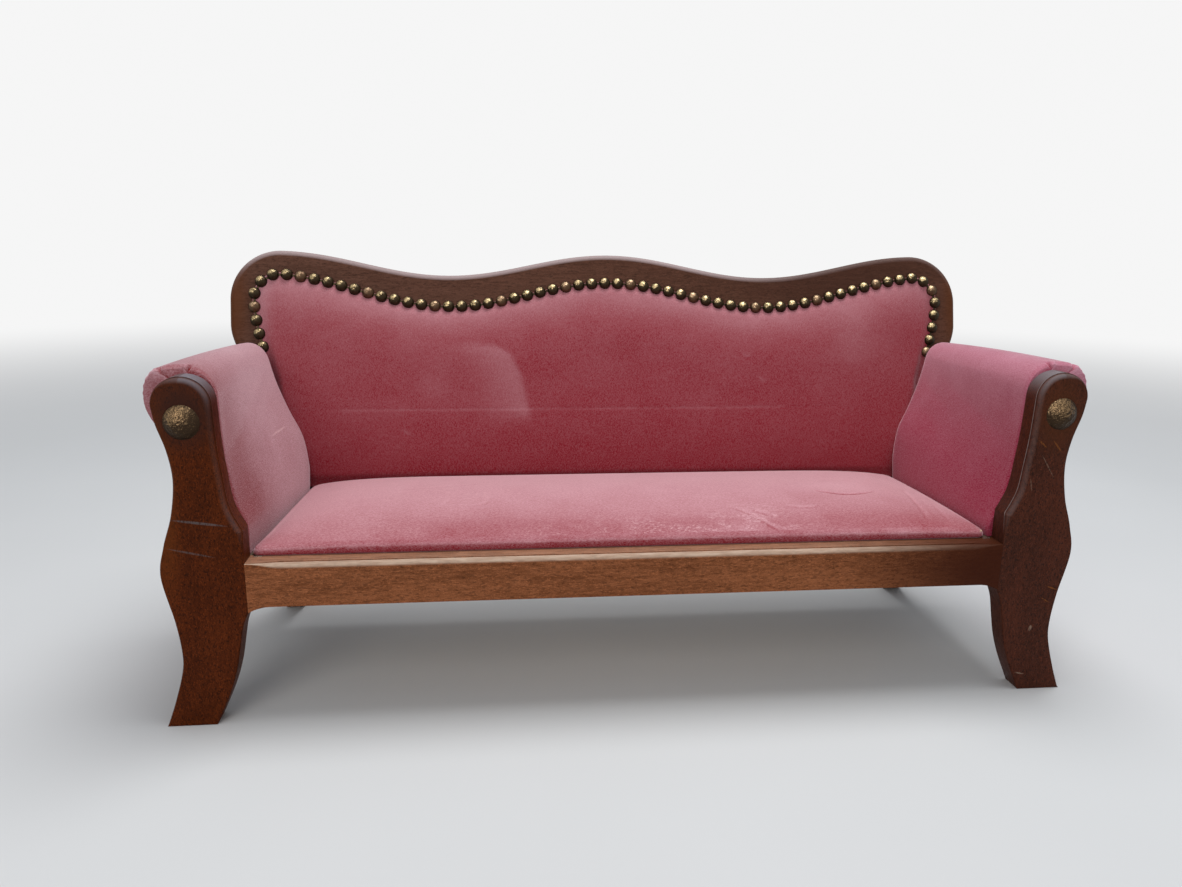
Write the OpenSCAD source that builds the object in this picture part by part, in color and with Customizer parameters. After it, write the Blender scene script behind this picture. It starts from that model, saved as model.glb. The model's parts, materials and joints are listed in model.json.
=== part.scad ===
// Doll's sofa on sabre legs, with a serpentine back and a thin velvet upholstery.
// Lengths are millimetres. X runs across the sofa, Y to its back and Z up, and the
// origin is on the floor under the middle of the whole.

/* [Frame] */
// Width of the sofa over the hips of its front posts
body_w = 700; // [680:1:740]
// Thickness of the boards that the frame is cut from
board_t = 18; // [16:0.5:20]
// Height of the front rail's top above the floor
seat_h = 128; // [120:1:136]
// Height of the front rail
rail_h = 34; // [30:1:38]
// Depth from the front of the posts to the back board, at the seat
seat_depth = 184; // [172:1:200]
// Lean of the back, in degrees
back_lean = 13.5; // [10:0.5:16]

/* [Front posts] */
// Height of the front posts
post_h = 265; // [256:1:274]
// Width of a post at its hip
post_w = 59; // [56:0.5:62]
// Radius of a post's head
head_r = 20; // [18:0.5:21]
// How far the arm's middle lies inside the hip
arm_inset = 25; // [23:0.5:27]
// How far a foot's tip stands out past the hip
foot_flare = 6; // [3:0.5:9]
// Width of a front foot's sole
sole_w = 36; // [30:1:38]
// How far the ankle is drawn in from the hip
ankle_in = 9.5; // [6:0.5:12]
// How far the arm's waist is drawn in from the hip
waist_in = 14.5; // [12:0.5:17]
// Size of the moulding on the rail and the posts
moulding = 4.5; // [3:0.5:5]
// How far the rail's underside curves down at the posts
rail_drop = 4.4; // [2:0.2:6]

/* [Rear legs] */
// Depth of a rear leg at its top
rear_leg_w = 46; // [40:1:52]
// How far the rear toe stands behind the back board at the seat
rear_kick = 30; // [24:1:36]
// Depth of a rear foot's sole
rear_sole = 30; // [26:1:34]

/* [Back board] */
// Mean height of the crest above the seat, along the board
crest_h = 211; // [200:1:220]
// Half the rise from a dip of the crest to a hump
crest_wave = 10.3; // [6:0.5:14]
// How much higher the outer humps are than the middle one
crest_rise = 1.5; // [0:0.5:4]
// Radius of the board's upper corners
corner_r = 46; // [40:1:52]
// Round on the board's front edge
crest_round = 5.5; // [3:0.5:7]

/* [Nail strip] */
// Bare wood between the crest and the strip, in the middle
border_mid = 28; // [24:1:32]
// How much wider that border is in the dips
border_dip = 2.5; // [0:0.5:5]
// Bare wood between the corner and the strip
border_end = 22.5; // [20:0.5:25]
// Distance from one nail to the next
nail_pitch = 12.5; // [12:0.25:15]
// How far the strip's middle nail sits left of the sofa's middle
nail_shift = 3.3; // [0:0.1:6]
// Diameter of a nail's head
nail_d = 11; // [9:0.5:11.5]
// Height of a nail's head
nail_rise = 4; // [3:0.5:5]
// Diameter of the large nails on the posts
boss_d = 25; // [20:1:26]
// Height of the large nails
boss_rise = 6; // [4:0.5:8]
// Depth of the large nails' middle below the top of the post
boss_down = 31.5; // [29:0.5:34]

/* [Upholstery] */
// Thickness of the velvet
velvet_t = 1.2; // [1:0.1:1.5]
// Thickness of the seat's plywood
panel_t = 4; // [3:0.5:6]
// Rise of the seat's crown above its edge
seat_crown = 17; // [12:0.5:22]
// Rise of the back's padding
back_crown = 9; // [6:0.5:11]
// Height of the arm's roll above the post
roll_over = 6; // [4:0.5:8]
// How much lower the roll is at the back
roll_fall = 8.5; // [4:0.5:12]
// How far the arm swells inwards at the back of the seat
arm_swell = 14; // [10:1:18]
// How far the arm's roll stands out past the hip, at the front
roll_out = 6; // [3:0.5:8]

/* [Fixings] */
// Diameter of the dowels
dowel_d = 8; // [6:0.5:8]
// Length of the dowels
dowel_l = 36; // [30:1:40]
// Diameter of the screws
screw_d = 3.5; // [3:0.25:4]
// Length of the long screws
screw_l = 40; // [36:1:44]

/* [Hidden] */

// Clearance round soft forms, and the play round dowels and screws
soft_gap = 0.3;
play = 0.05;
// Smallest arris, for edges that are nearly sharp
arris = 0.3;
// Share of the moulding's size that is the small step at its edge
quirk = 0.12;
// Heights of the straight block of a post above the seat, and of its moulding's start
block_rise = 24;
moulding_rise = 12;

half_w = body_w / 2;
joint_x = half_w - post_w;
arm_x = half_w - arm_inset;
leg_h = seat_h - rail_h;
arm_h = post_h - seat_h;
side_in = arm_x - board_t / 2;
side_out = arm_x + board_t / 2;
hump_x = half_w - corner_r;
wood = "#6b3d24";
dark_wood = "#4a2817";
pale_wood = "#b08a5c";
velvet = "#b4586a";
wadding = "#e6dfd0";
brass = "#8a7448";
iron = "#777777";

function lerp(a, b, t) = a + (b - a) * t;
function ease(t) = (1 - cos(180 * t)) / 2;
function unit(v) = v / norm(v);
function reversed(v) = [for (i = [len(v) - 1 : -1 : 0]) v[i]];
function flipped(v) = [for (p = reversed(v)) [-p.x, p.y]];
function arc(c, rx, ry, a0, a1, n) =
    [for (i = [0 : n]) let (a = lerp(a0, a1, i / n)) c + [rx * cos(a), ry * sin(a)]];
// A fuller arc, from a quarter ellipse at power 1 towards a square corner at 0
function full_arc(c, rx, ry, power, n) =
    [for (i = [0 : n]) let (a = 90 * i / n) c + [rx * cos(a) ^ power, ry * sin(a) ^ power]];

// Smooth curve through the points p, with n steps from one to the next
function spline_at(a, b, c, d, t) =
    (2 * b + (c - a) * t + (2 * a - 5 * b + 4 * c - d) * t ^ 2
     + (3 * b - a - 3 * c + d) * t ^ 3) / 2;
function spline(p, n) = let (last = len(p) - 1) [
    for (i = [0 : last - 1], k = [0 : n - 1])
        spline_at(p[max(i - 1, 0)], p[i], p[i + 1], p[min(i + 2, last)], k / n),
    p[last]
];

// Direction into a closed outline at its point i, which lies left of the travel
function inward(p, i) =
    let (n = len(p), d = unit(p[(i + 1) % n] - p[(i + n - 1) % n])) [-d.y, d.x];

// Height of the leaning back's front plane: its Y at height z, less a distance off it
function back_y(z, off = 0) =
    seat_depth + (z - seat_h) * tan(back_lean) - off / cos(back_lean);

// The board's rear top edge and the large nails set the depth, which is centred
board_round = 1.5;
function crest(x) = crest_h + crest_wave * cos(360 * x / hump_x)
    + crest_rise * (abs(x) / hump_x) ^ 4;
top_v = crest(hump_x);
rear_y = seat_depth + (top_v - board_round) * sin(back_lean)
    + (board_t - board_round) * cos(back_lean) + board_round;
middle_y = (rear_y - boss_rise) / 2;

module placed() { translate([0, -middle_y, 0]) children(); }
module on_left() { placed() mirror([1, 0, 0]) children(); }
module on_right() { placed() children(); }

// The back board's own frame: X across, Y through the board and Z up its slope
module on_back() {
    placed() translate([0, seat_depth, seat_h]) rotate([-back_lean, 0, 0]) children();
}

// A shape cut in the YZ plane from a board that reaches from x0 to x1
module across(x0, x1) {
    translate([x0, 0, 0]) rotate([90, 0, 90]) linear_extrude(x1 - x0) children();
}

// Skin of triangles from ring to ring, run anticlockwise as seen from the first
function side_faces(rings, n, first = 0) = [
    for (k = [0 : rings - 2], i = [0 : n - 1])
        let (a = first + k * n + i, b = first + k * n + (i + 1) % n)
        each [[a, b, b + n], [a, b + n, a + n]]
];

// Triangles that fill a flat outline, which runs anticlockwise through the points p
// with the numbers i, cut off ear by ear
function turn(a, b, c) = cross(b - a, c - b);
function is_ear(p, i, k) = let (
    n = len(i), a = p[i[k - 1]], b = p[i[k]], c = p[i[(k + 1) % n]]
) turn(a, b, c) > 0 && len([
    for (j = [2 : n - 2]) let (q = p[i[(k + j) % n]])
        if (turn(a, b, q) >= 0 && turn(b, c, q) >= 0 && turn(c, a, q) >= 0) q
]) == 0;
function first_ear(p, i, k = 1) = k == len(i) - 1 || is_ear(p, i, k) ? k : first_ear(p, i, k + 1);
function ears(p, i) = len(i) == 3 ? [i] : let (n = len(i), k = first_ear(p, i)) concat(
    [[i[k - 1], i[k], i[(k + 1) % n]]],
    ears(p, [for (j = [1 : n - 1]) i[(k + j) % n]])
);
// The cap of a ring, whose points start at number first and are flattened by view
function cap(ring, view, first = 0) =
    [for (t = ears([for (q = ring) view(q)], [for (i = [0 : len(ring) - 1]) i])) t + [first, first, first]];
function turned(faces) = [for (t = faces) reversed(t)];

// Views in which the first ring of a loft runs anticlockwise
from_front = function (p) [p.x, p.z];
from_behind = function (p) [-p.x, p.z];
from_left = function (p) [-p.y, p.z];
from_below = function (p) [-p.x, p.y];

module loft(rings, view = from_front) {
    n = len(rings[0]);
    last = len(rings) - 1;
    polyhedron(
        points = [for (r = rings) each r],
        faces = concat(
            turned(cap(rings[0], view)),
            side_faces(len(rings), n),
            cap(rings[last], view, last * n)
        )
    );
}

// Rings that close on a point, over a flat foot
module mound(rings, tip, view) {
    n = len(rings[0]);
    last = (len(rings) - 1) * n;
    polyhedron(
        points = concat([for (r = rings) each r], [tip]),
        faces = concat(
            turned(cap(rings[0], view)),
            side_faces(len(rings), n),
            [for (i = [0 : n - 1]) [last + i, last + (i + 1) % n, last + n]]
        )
    );
}

// Two mounds of rings, one inside the other, joined at their first ring
module shell(outer, outer_tip, inner, inner_tip) {
    n = len(outer[0]);
    m = len(outer);
    k = len(inner);
    tip = (m + k) * n;
    polyhedron(
        points = concat([for (r = outer) each r], [for (r = inner) each r], [outer_tip, inner_tip]),
        faces = concat(
            side_faces(m, n),
            [for (i = [0 : n - 1]) [(m - 1) * n + i, (m - 1) * n + (i + 1) % n, tip]],
            [for (f = side_faces(k, n, m * n)) reversed(f)],
            [for (i = [0 : n - 1]) let (a = (m + k - 1) * n) [a + (i + 1) % n, a + i, tip + 1]],
            [for (i = [0 : n - 1]) let (j = (i + 1) % n) each [
                [m * n + i, m * n + j, j], [m * n + i, j, i]
            ]]
        )
    );
}

// A board of thickness t cut to an outline, anticlockwise from the front, with its
// front edge moulded to the size that edge holds for each point and its rear arris
// eased. The moulding starts with a small step where step is above 0.
module shaped_board(outline, edge, rear, t, step = 0) {
    n = len(outline);
    into = [for (i = [0 : n - 1]) inward(outline, i)];
    steps = 4;
    front_rings = [for (k = [0 : steps]) let (a = 90 * k / steps) [
        for (i = [0 : n - 1])
            let (m = edge[i], q = outline[i] + into[i] * m * (1 - sin(a)))
            [q.x, m * (step + (1 - step) * (1 - cos(a))), q.y]
    ]];
    face_ring = [for (i = [0 : n - 1]) let (q = outline[i] + into[i] * edge[i]) [q.x, 0, q.y]];
    rear_rings = [for (k = [0 : 2]) [
        for (i = [0 : n - 1])
            let (q = outline[i] + into[i] * rear * (1 - cos(45 * k)))
            [q.x, t - rear * (1 - sin(45 * k)), q.y]
    ]];
    loft(concat(step > 0 ? [face_ring] : [], front_rings, rear_rings));
}

// Front posts: arm and sabre leg in one board

head_z = post_h - head_r;
boss_z = post_h - boss_down;
sole_out = half_w + foot_flare;
block_top = seat_h + block_rise;
function in_arm(share) = seat_h + share * arm_h;

post_outer = spline([
    [sole_out, 0],
    [half_w - 0.1 * ankle_in, leg_h * 0.20],
    [half_w - 0.86 * ankle_in, leg_h * 0.46],
    [half_w - ankle_in, leg_h * 0.63],
    [half_w - 0.72 * ankle_in, leg_h * 0.89],
    [half_w, seat_h - 9],
    [half_w - 0.27 * waist_in, in_arm(0.10)],
    [half_w - 0.76 * waist_in, in_arm(0.27)],
    [half_w - waist_in, in_arm(0.46)],
    [half_w - 0.84 * waist_in, in_arm(0.62)],
    [arm_x + head_r - 2, head_z - 13],
    [arm_x + head_r, head_z]
], 3);
post_head = arc([arm_x, head_z], head_r, head_r, 15, 180, 11);
post_inner = spline([
    [arm_x - head_r, head_z],
    [arm_x - head_r - 1, in_arm(0.64)],
    [arm_x - head_r - 3, in_arm(0.48)],
    [joint_x + 8, in_arm(0.31)],
    [joint_x, block_top]
], 4);
leg_inner = spline([
    [joint_x, leg_h - rail_drop],
    [joint_x + 4.7, leg_h * 0.83],
    [joint_x + 7.7, leg_h * 0.67],
    [joint_x + 11.5, leg_h * 0.47],
    [joint_x + 18, leg_h * 0.26],
    [sole_out - sole_w, 0]
], 3);
post_outline = concat(
    post_outer,
    post_head,
    [for (i = [1 : len(post_inner) - 1]) post_inner[i]],
    [[joint_x, seat_h + moulding_rise], [joint_x, seat_h], [joint_x, leg_h]],
    leg_inner
);

// The moulding grows over the head, runs down the inner edge and dies at the rail
function post_edge(p) =
    p.x < joint_x + 0.01 && p.y < seat_h + 1 ? arris
    : p.x < joint_x + 0.01 && p.y < block_top - 1 ? moulding * 0.62
    : p.y < leg_h ? (p.y < 1 ? arris : 1.2)
    : p.x > arm_x + 1 ? lerp(1.4, moulding, max(0, 1 - (p.x - arm_x) / head_r) ^ 2)
    : moulding;

module front_post() {
    color(wood) difference() {
        shaped_board(post_outline, [for (p = post_outline) post_edge(p)], arris, board_t, quirk);
        for (z = rail_dowel_z) rail_dowel(z, play);
        for (z = arm_dowel_z) arm_dowel(z, play);
        boss_hole();
    }
}
module left_front_post() { on_left() front_post(); }
module right_front_post() { on_right() front_post(); }

// Front rail, with the moulding stopped short of the posts

rail_stop = 26;
rail_blend = 16;
rail_half = concat(
    [for (share = [0, 0.12, 0.27, 0.46, 0.73, 1]) joint_x - share * rail_stop],
    [for (k = [1 : 5]) (joint_x - rail_stop) * (1 - k / 6)]
);
rail_stations = concat([for (x = rail_half) -x], [0], reversed(rail_half));
function rail_section(x) = let (
    d = joint_x - abs(x),
    m = lerp(arris, moulding, ease(min(1, d / rail_stop))),
    low = leg_h - rail_drop * (1 - min(1, d / rail_blend)) ^ 2,
    q = quirk * m
) concat(
    [[x, 0, low], [x, 0, seat_h - m]],
    [for (k = [0 : 4]) let (a = 90 * k / 4)
        [x, q + (m - q) * (1 - cos(a)), seat_h - m * (1 - sin(a))]],
    [[x, board_t, seat_h], [x, board_t, low]]
);

module front_rail() {
    color(wood) placed() difference() {
        loft([for (x = rail_stations) rail_section(x)], from_left);
        for (s = [-1, 1], z = rail_dowel_z) mirror([s < 0 ? 1 : 0, 0, 0]) rail_dowel(z, play);
    }
}

// Back board

board_low = -rail_h / cos(back_lean);
corner_v = top_v - corner_r;
// The board narrows from its humps to its neck over this height, below the corners
neck_drop = 22;
neck_l = 55;
neck_top = corner_v - neck_drop;
neck_low = neck_top - neck_l;
board_half = concat(
    [[side_out, board_low], [side_out, neck_low * 0.5]],
    [for (k = [0 : 7]) let (t = k / 7)
        [lerp(side_out, half_w, ease(t)), lerp(neck_low, neck_top, t)]],
    arc([hump_x, corner_v], corner_r, corner_r, 0, 90, 10),
    [for (k = [1 : 24]) let (x = hump_x * (1 - k / 24)) [x, crest(x)]]
);
board_outline = concat(board_half, [for (p = flipped(board_half)) if (p.x < -0.01) p]);
function board_edge(p) = lerp(arris, crest_round, ease(min(1, max(0, (p.y - neck_low) / 30))));

module back_board() {
    color(wood) difference() {
        on_back() shaped_board(board_outline, [for (p = board_outline) board_edge(p)],
            board_round, board_t);
        on_back() for (p = real_nails) nail_hole(p);
        on_back() for (p = back_screws) back_screw(p, play);
    }
}

// Side boards, which carry the arms and stand on the rail's level behind the posts

side_top_front = head_z + 1;
side_top_back = head_z - 7;
side_top_v = (side_top_back - seat_h) / cos(back_lean);
module side_board() {
    color(dark_wood) difference() {
        across(side_in, side_out) polygon([
            [board_t, leg_h], [back_y(leg_h), leg_h],
            [back_y(side_top_back), side_top_back], [board_t, side_top_front]
        ]);
        for (z = arm_dowel_z) arm_dowel(z, play);
        boss_hole();
        for (z = leg_screw_z) leg_screw(z, play);
        translate([0, seat_depth, seat_h]) rotate([-back_lean, 0, 0])
            for (v = side_screw_v) back_screw([arm_x, v], play);
    }
}
module left_side_board() { on_left() side_board(); }
module right_side_board() { on_right() side_board(); }

// Rear legs: sabre legs swept back under the board, inside the side boards

toe_y = seat_depth + rear_kick;
leg_front = back_y(leg_h) - rear_leg_w + 10;
shoulder = [back_y(leg_h) + board_t * cos(back_lean), leg_h - board_t * sin(back_lean)];
rear_front_edge = [for (k = [0 : 10]) let (t = k / 10)
    [lerp(leg_front, toe_y, t ^ 1.7), leg_h * (1 - t)]];
rear_back_edge = [for (k = [0 : 9]) let (t = k / 9)
    [lerp(shoulder.x, toe_y + rear_sole, t ^ 1.5), shoulder.y * (1 - t)]];
module rear_leg() {
    color(wood) difference() {
        across(side_in - board_t, side_in) polygon(concat(
            [[leg_front, seat_h]], rear_front_edge, reversed(rear_back_edge),
            [[back_y(leg_h), leg_h], [back_y(seat_h), seat_h]]
        ));
        for (z = leg_screw_z) leg_screw(z, play);
    }
}
module left_rear_leg() { on_left() rear_leg(); }
module right_rear_leg() { on_right() rear_leg(); }

// Back rail, between the rear legs and against the back board

module back_rail() {
    color(dark_wood) difference() {
        placed() across(board_t - side_in, side_in - board_t) polygon([
            [back_y(leg_h, board_t), leg_h], [back_y(leg_h), leg_h],
            [back_y(seat_h), seat_h], [back_y(seat_h, board_t), seat_h]
        ]);
        on_back() for (p = rail_screws) back_screw(p, play);
    }
}

// Cleats that carry the seat along the sides, and blocks glued in the front corners

cleat_w = 56;
block_l = 42;
module seat_cleat() {
    color(pale_wood) difference() {
        translate([side_in - cleat_w, board_t, seat_h - board_t])
            cube([cleat_w, leg_front - board_t, board_t]);
        for (y = seat_screw_y) seat_screw(y, play);
    }
}
module left_seat_cleat() { on_left() seat_cleat(); }
module right_seat_cleat() { on_right() seat_cleat(); }

block_h = rail_h - board_t;
module corner_block() {
    color(pale_wood) translate([side_in, board_t, leg_h]) linear_extrude(block_h)
        polygon([[0, 0], [0, block_l], [-cleat_w, 0]]);
}
module left_corner_block() { on_left() corner_block(); }
module right_corner_block() { on_right() corner_block(); }

// Seat: plywood, padding with a crown, and velvet turned under all round

seat_front = board_t - 2.5;
seat_back = back_y(seat_h) - 5;
seat_wide = joint_x - 6;
seat_narrow = joint_x - arm_swell;
seat_centre = [0, (seat_front + seat_back) / 2];
seat_corner_r = [4, 5];
panel_z = seat_h + velvet_t + 0.2;
// Least thickness of the padding, at the seat's edge
edge_pad = 0.7;
seat_edge_z = panel_z + panel_t + velvet_t + edge_pad;
hem = 8;
seat_half = concat(
    [for (k = [0 : 6]) [seat_wide * k / 6.2, seat_front]],
    arc([seat_wide, seat_front] + seat_corner_r[0] * [-1, 1],
        seat_corner_r[0], seat_corner_r[0], -60, 0, 2),
    [for (k = [1 : 5]) let (t = k / 6)
        [lerp(seat_wide, seat_narrow, t), lerp(seat_front, seat_back, t)]],
    arc([seat_narrow, seat_back] - seat_corner_r[1] * [1, 1],
        seat_corner_r[1], seat_corner_r[1], 0, 90, 3),
    [for (k = [1 : 5]) [(seat_narrow - seat_corner_r[1]) * (1 - k / 6), seat_back]],
    [[0, seat_back]]
);
// Clockwise from above, so that its rings rise
seat_outline = reversed(concat(seat_half, [for (p = flipped(seat_half)) if (p.x < -0.01) p]));
seat_n = len(seat_outline);
function seat_side(y) = lerp(seat_wide, seat_narrow, (y - seat_front) / (seat_back - seat_front));
function seat_rise(p) = let (
    t = min(1, max(0, (p.y - seat_front) / (seat_back - seat_front))),
    along = t < 0.5 ? 1 - (1 - 2 * t) ^ 2.4 : 1 - 0.63 * (2 * t - 1) ^ 2,
    over = 1 - min(1, abs(p.x) / seat_side(p.y)) ^ 5
) seat_crown * along * over;
// A point of the outline, drawn in alike from all sides
function seat_at(i, inset) = let (p = seat_outline[i])
    [p.x * (1 - inset / seat_wide), lerp(p.y, seat_centre.y, inset / (seat_centre.y - seat_front))];
function seat_ring(inset, z) = [for (i = [0 : seat_n - 1]) let (p = seat_at(i, inset)) [p.x, p.y, z]];
function seat_top_ring(inset, drop) = [for (i = [0 : seat_n - 1])
    let (p = seat_at(i, inset)) [p.x, p.y, seat_edge_z + seat_rise(p) - drop]];
function seat_crown_ring(inset, share, drop) = [for (i = [0 : seat_n - 1])
    let (p = lerp(seat_at(i, inset), seat_centre, share)) [p.x, p.y, seat_edge_z + seat_rise(p) - drop]];
seat_shares = [0.03, 0.09, 0.2, 0.36, 0.56, 0.8];
function seat_tip(drop) = [seat_centre.x, seat_centre.y, seat_edge_z + seat_rise(seat_centre) - drop];

module seat_panel() {
    color(pale_wood) placed() difference() {
        translate([0, 0, panel_z]) linear_extrude(panel_t)
            polygon([for (i = [0 : seat_n - 1]) seat_at(i, velvet_t + 0.2)]);
        for (s = [0, 1], y = seat_screw_y) mirror([s, 0, 0]) seat_screw(y, play);
    }
}

module seat_padding() {
    foot = velvet_t + 1;
    over = velvet_t + soft_gap;
    color(wadding) placed() mound(concat(
        [seat_ring(foot, panel_z + panel_t)],
        [for (s = seat_shares) seat_crown_ring(foot, s, over)]
    ), seat_tip(over), from_below);
}

module seat_cover() {
    base = seat_h + 0.1;
    color(velvet) placed() shell(
        concat(
            [seat_ring(hem, base), seat_ring(0.8, base), seat_ring(0, base + 0.8),
             seat_top_ring(0, 1.2), seat_top_ring(1, 0)],
            [for (s = seat_shares) seat_crown_ring(1, s, 0)]
        ),
        seat_tip(0),
        concat(
            [seat_ring(hem, base + velvet_t), seat_ring(velvet_t, base + velvet_t),
             seat_top_ring(velvet_t, velvet_t)],
            [for (s = seat_shares) seat_crown_ring(velvet_t + 1, s, velvet_t)]
        ),
        seat_tip(velvet_t)
    );
}

// Back: padding and velvet inside the line of the nail strip

function border(x) = lerp(
    border_mid + border_dip * (1 - cos(360 * x / hump_x)) / 2, border_end, (abs(x) / hump_x) ^ 5
);
function strip_v(x) = crest(x) - border(x);
strip_side = half_w - border_end;
strip_r = strip_side - hump_x;
strip_corner = strip_v(hump_x) - strip_r;
// How far above the side boards the strip ends, and how far it leans in there
strip_clear = 11.7;
strip_in = 10;
strip_end = side_top_v + strip_clear;
strip_path = concat(
    [for (k = [0 : 38]) let (x = hump_x * k / 38) [x, strip_v(x)]],
    [for (p = arc([hump_x, strip_corner], strip_r, strip_r, 90, 0, 9)) if (p.x > hump_x + 0.01) p],
    [for (k = [1 : 8]) let (t = k / 8)
        [strip_side - strip_in * t ^ 1.6, lerp(strip_corner, strip_end, t)]]
);
strip_sums = [for (i = 0, s = 0; i < len(strip_path);
    i = i + 1, s = i < len(strip_path) ? s + norm(strip_path[i] - strip_path[i - 1]) : s) s];
strip_len = strip_sums[len(strip_sums) - 1];
most_nails = ceil(strip_len / nail_pitch);
function strip_at(s) = [
    lookup(s, [for (i = [0 : len(strip_path) - 1]) [strip_sums[i], strip_path[i].x]]),
    lookup(s, [for (i = [0 : len(strip_path) - 1]) [strip_sums[i], strip_path[i].y]])
];
// The nails' numbers, counted to the right from the middle one
nail_numbers = [for (i = [-most_nails : most_nails]) if (abs(i * nail_pitch - nail_shift) < strip_len) i];
nails = [for (i = nail_numbers)
    let (s = i * nail_pitch - nail_shift, p = strip_at(abs(s))) [sign(s) * p.x, p.y]];
// Every fifth head is a real nail, and the rest are stamped in the strip
real_every = 5;
real_first = 2;
function is_real(k) = (nail_numbers[k] - real_first) % real_every == 0;
real_nails = [for (k = [0 : len(nails) - 1]) if (is_real(k)) nails[k]];

back_low = 4;
back_margin = 6;
back_tuck = side_in - 4;
back_corner_r = 12;
tuck_v = side_top_v - 14;
back_half = concat(
    [[0, back_low], [back_tuck * 0.35, back_low], [back_tuck * 0.7, back_low]],
    arc([back_tuck - back_corner_r, back_low + back_corner_r],
        back_corner_r, back_corner_r, -90, 0, 3),
    [for (share = [0.35, 0.7, 1]) [back_tuck, tuck_v * share]],
    [for (k = [len(strip_path) - 1 : -3 : 0])
        strip_path[k] + 1.4 * inward_of_strip(k)]
);
function inward_of_strip(k) = let (
    last = len(strip_path) - 1, d = unit(strip_path[min(k + 1, last)] - strip_path[max(k - 1, 0)])
) [d.y, -d.x];
// Clockwise from the front, so that its rings come forward
back_outline = reversed(concat(back_half, [for (p = flipped(back_half)) if (p.x < -0.01) p]));
back_n = len(back_outline);
back_centre = [0, crest_h * 0.45];
function back_puff(p) = let (
    top = strip_v(min(abs(p.x), hump_x)),
    t = min(1, max(0, (p.y - back_low) / (top - back_low)))
) back_crown * (1 - abs(2 * t - 1) ^ 5) * (1 - min(1, abs(p.x) / strip_side) ^ 9);
function back_ring(inset, share, out, crown = 1) = [for (i = [0 : back_n - 1]) let (
    p = back_outline[i], d = inward(reversed(back_outline), back_n - 1 - i),
    q = lerp(p + d * inset, back_centre, share)
) [q.x, -out - crown * back_puff(q), q.y]];
function back_tip(out) = [back_centre.x, -out - back_puff(back_centre), back_centre.y];
back_shares = [0.035, 0.09, 0.18, 0.34, 0.62];

module back_padding() {
    color(wadding) on_back() mound(concat(
        [back_ring(back_margin + 2, 0, 0.1, 0)],
        [for (s = back_shares) back_ring(back_margin + 1, s, soft_gap)]
    ), back_tip(soft_gap), from_behind);
}

module back_cover() {
    color(velvet) on_back() shell(
        concat(
            [back_ring(0, 0, 0.1, 0), back_ring(0, 0, velvet_t + 0.1, 0),
             back_ring(back_margin, 0, velvet_t + 0.1, 0)],
            [for (s = back_shares) back_ring(back_margin + 1, s, velvet_t + 2 * soft_gap)]
        ),
        back_tip(velvet_t + 2 * soft_gap),
        concat(
            [back_ring(back_margin, 0, 0.1, 0)],
            [for (s = back_shares) back_ring(back_margin + 1, s, 2 * soft_gap)]
        ),
        back_tip(2 * soft_gap)
    );
}

// Arms: velvet over padding, from the post's inner edge to a fuller form at the back

arm_front_y = board_t + soft_gap;
arm_off_back = 7.5;
roll_front = [arm_x + 3, post_h + roll_over - 24];
roll_back = [arm_x + 5.5, post_h + roll_over - roll_fall - 22];
outer_x = side_out + soft_gap + velvet_t;
flare_z = in_arm(0.5);
hem_z = leg_h + 1;
function arm_inner(t) = let (
    z = seat_h + 0.5,
    front = [[arm_x - head_r - 0.6, in_arm(0.66)],
             [arm_x - head_r - 2, in_arm(0.5)], [joint_x + 7, in_arm(0.29)],
             [joint_x + 1, block_top - 2], [joint_x + 1, z]],
    back = [[arm_x - 19, in_arm(0.73)],
            [arm_x - 30, in_arm(0.55)], [joint_x - 5, in_arm(0.38)],
            [joint_x - arm_swell + 3, in_arm(0.2)], [joint_x - arm_swell + 2, z]]
) concat([roll_centre(t) - [roll_left(t), 0]], [for (i = [0 : 4]) lerp(front[i], back[i], t)]);
function roll_centre(t) = [lerp(roll_front.x, roll_back.x, t), lerp(roll_front.y, roll_back.y, t * t)];
function roll_left(t) = lerp(roll_front.x - arm_x + head_r, 19, t);
function arm_roll(t) = let (
    c = roll_centre(t), left = roll_left(t),
    right = lerp(roll_out, 0, t) + half_w - c.x, up = lerp(24, 22, t)
) concat(full_arc(c, right, up, lerp(0.72, 1, t), 6),
    [for (p = arc(c, left, up, 90, 180, 6)) if (p.x < c.x - 0.01) p]);
function arm_flare(t, first) = let (c = arm_roll(t)[0]) [for (k = [first : 5])
    [lerp(outer_x, c.x, ease(k / 6)), lerp(flare_z, c.y, k / 6)]];
function arm_surface(t, first = 0) = concat(
    first > 0 ? [] : [[outer_x, hem_z]],
    arm_flare(t, first),
    arm_roll(t),
    [for (i = [1 : 15]) spline(arm_inner(t), 3)[i]]
);
function open_inward(p, i) = let (
    last = len(p) - 1, d = unit(p[min(i + 1, last)] - p[max(i - 1, 0)])
) [-d.y, d.x];
function inset_path(p, inset) = [for (i = [0 : len(p) - 1]) p[i] + open_inward(p, i) * inset];
// A point of the section at share t of the way from the post to the back
function arm_point(p, t) = [p.x, lerp(arm_front_y, back_y(p.y, arm_off_back), t), p.y];
// Round the side board, with its clearance
function arm_core(t, low_in, low_out) = let (
    top = lerp(side_top_front, side_top_back, t) + soft_gap,
    left = side_in - soft_gap, right = side_out + soft_gap
) [[left, low_in], [left, top], [right, top], [right, low_out]];

cover_shares = [0, 0.008, 0.022, 0.045, 0.25, 0.5, 0.75, 1];
cover_insets = [5, 2.6, 0.9, 0, 0, 0, 0, 0];
padding_shares = [0.014, 0.05, 0.35, 0.65, 0.99];
padding_insets = [4.6, 1.9, 1.9, 1.9, 1.9];

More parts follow.
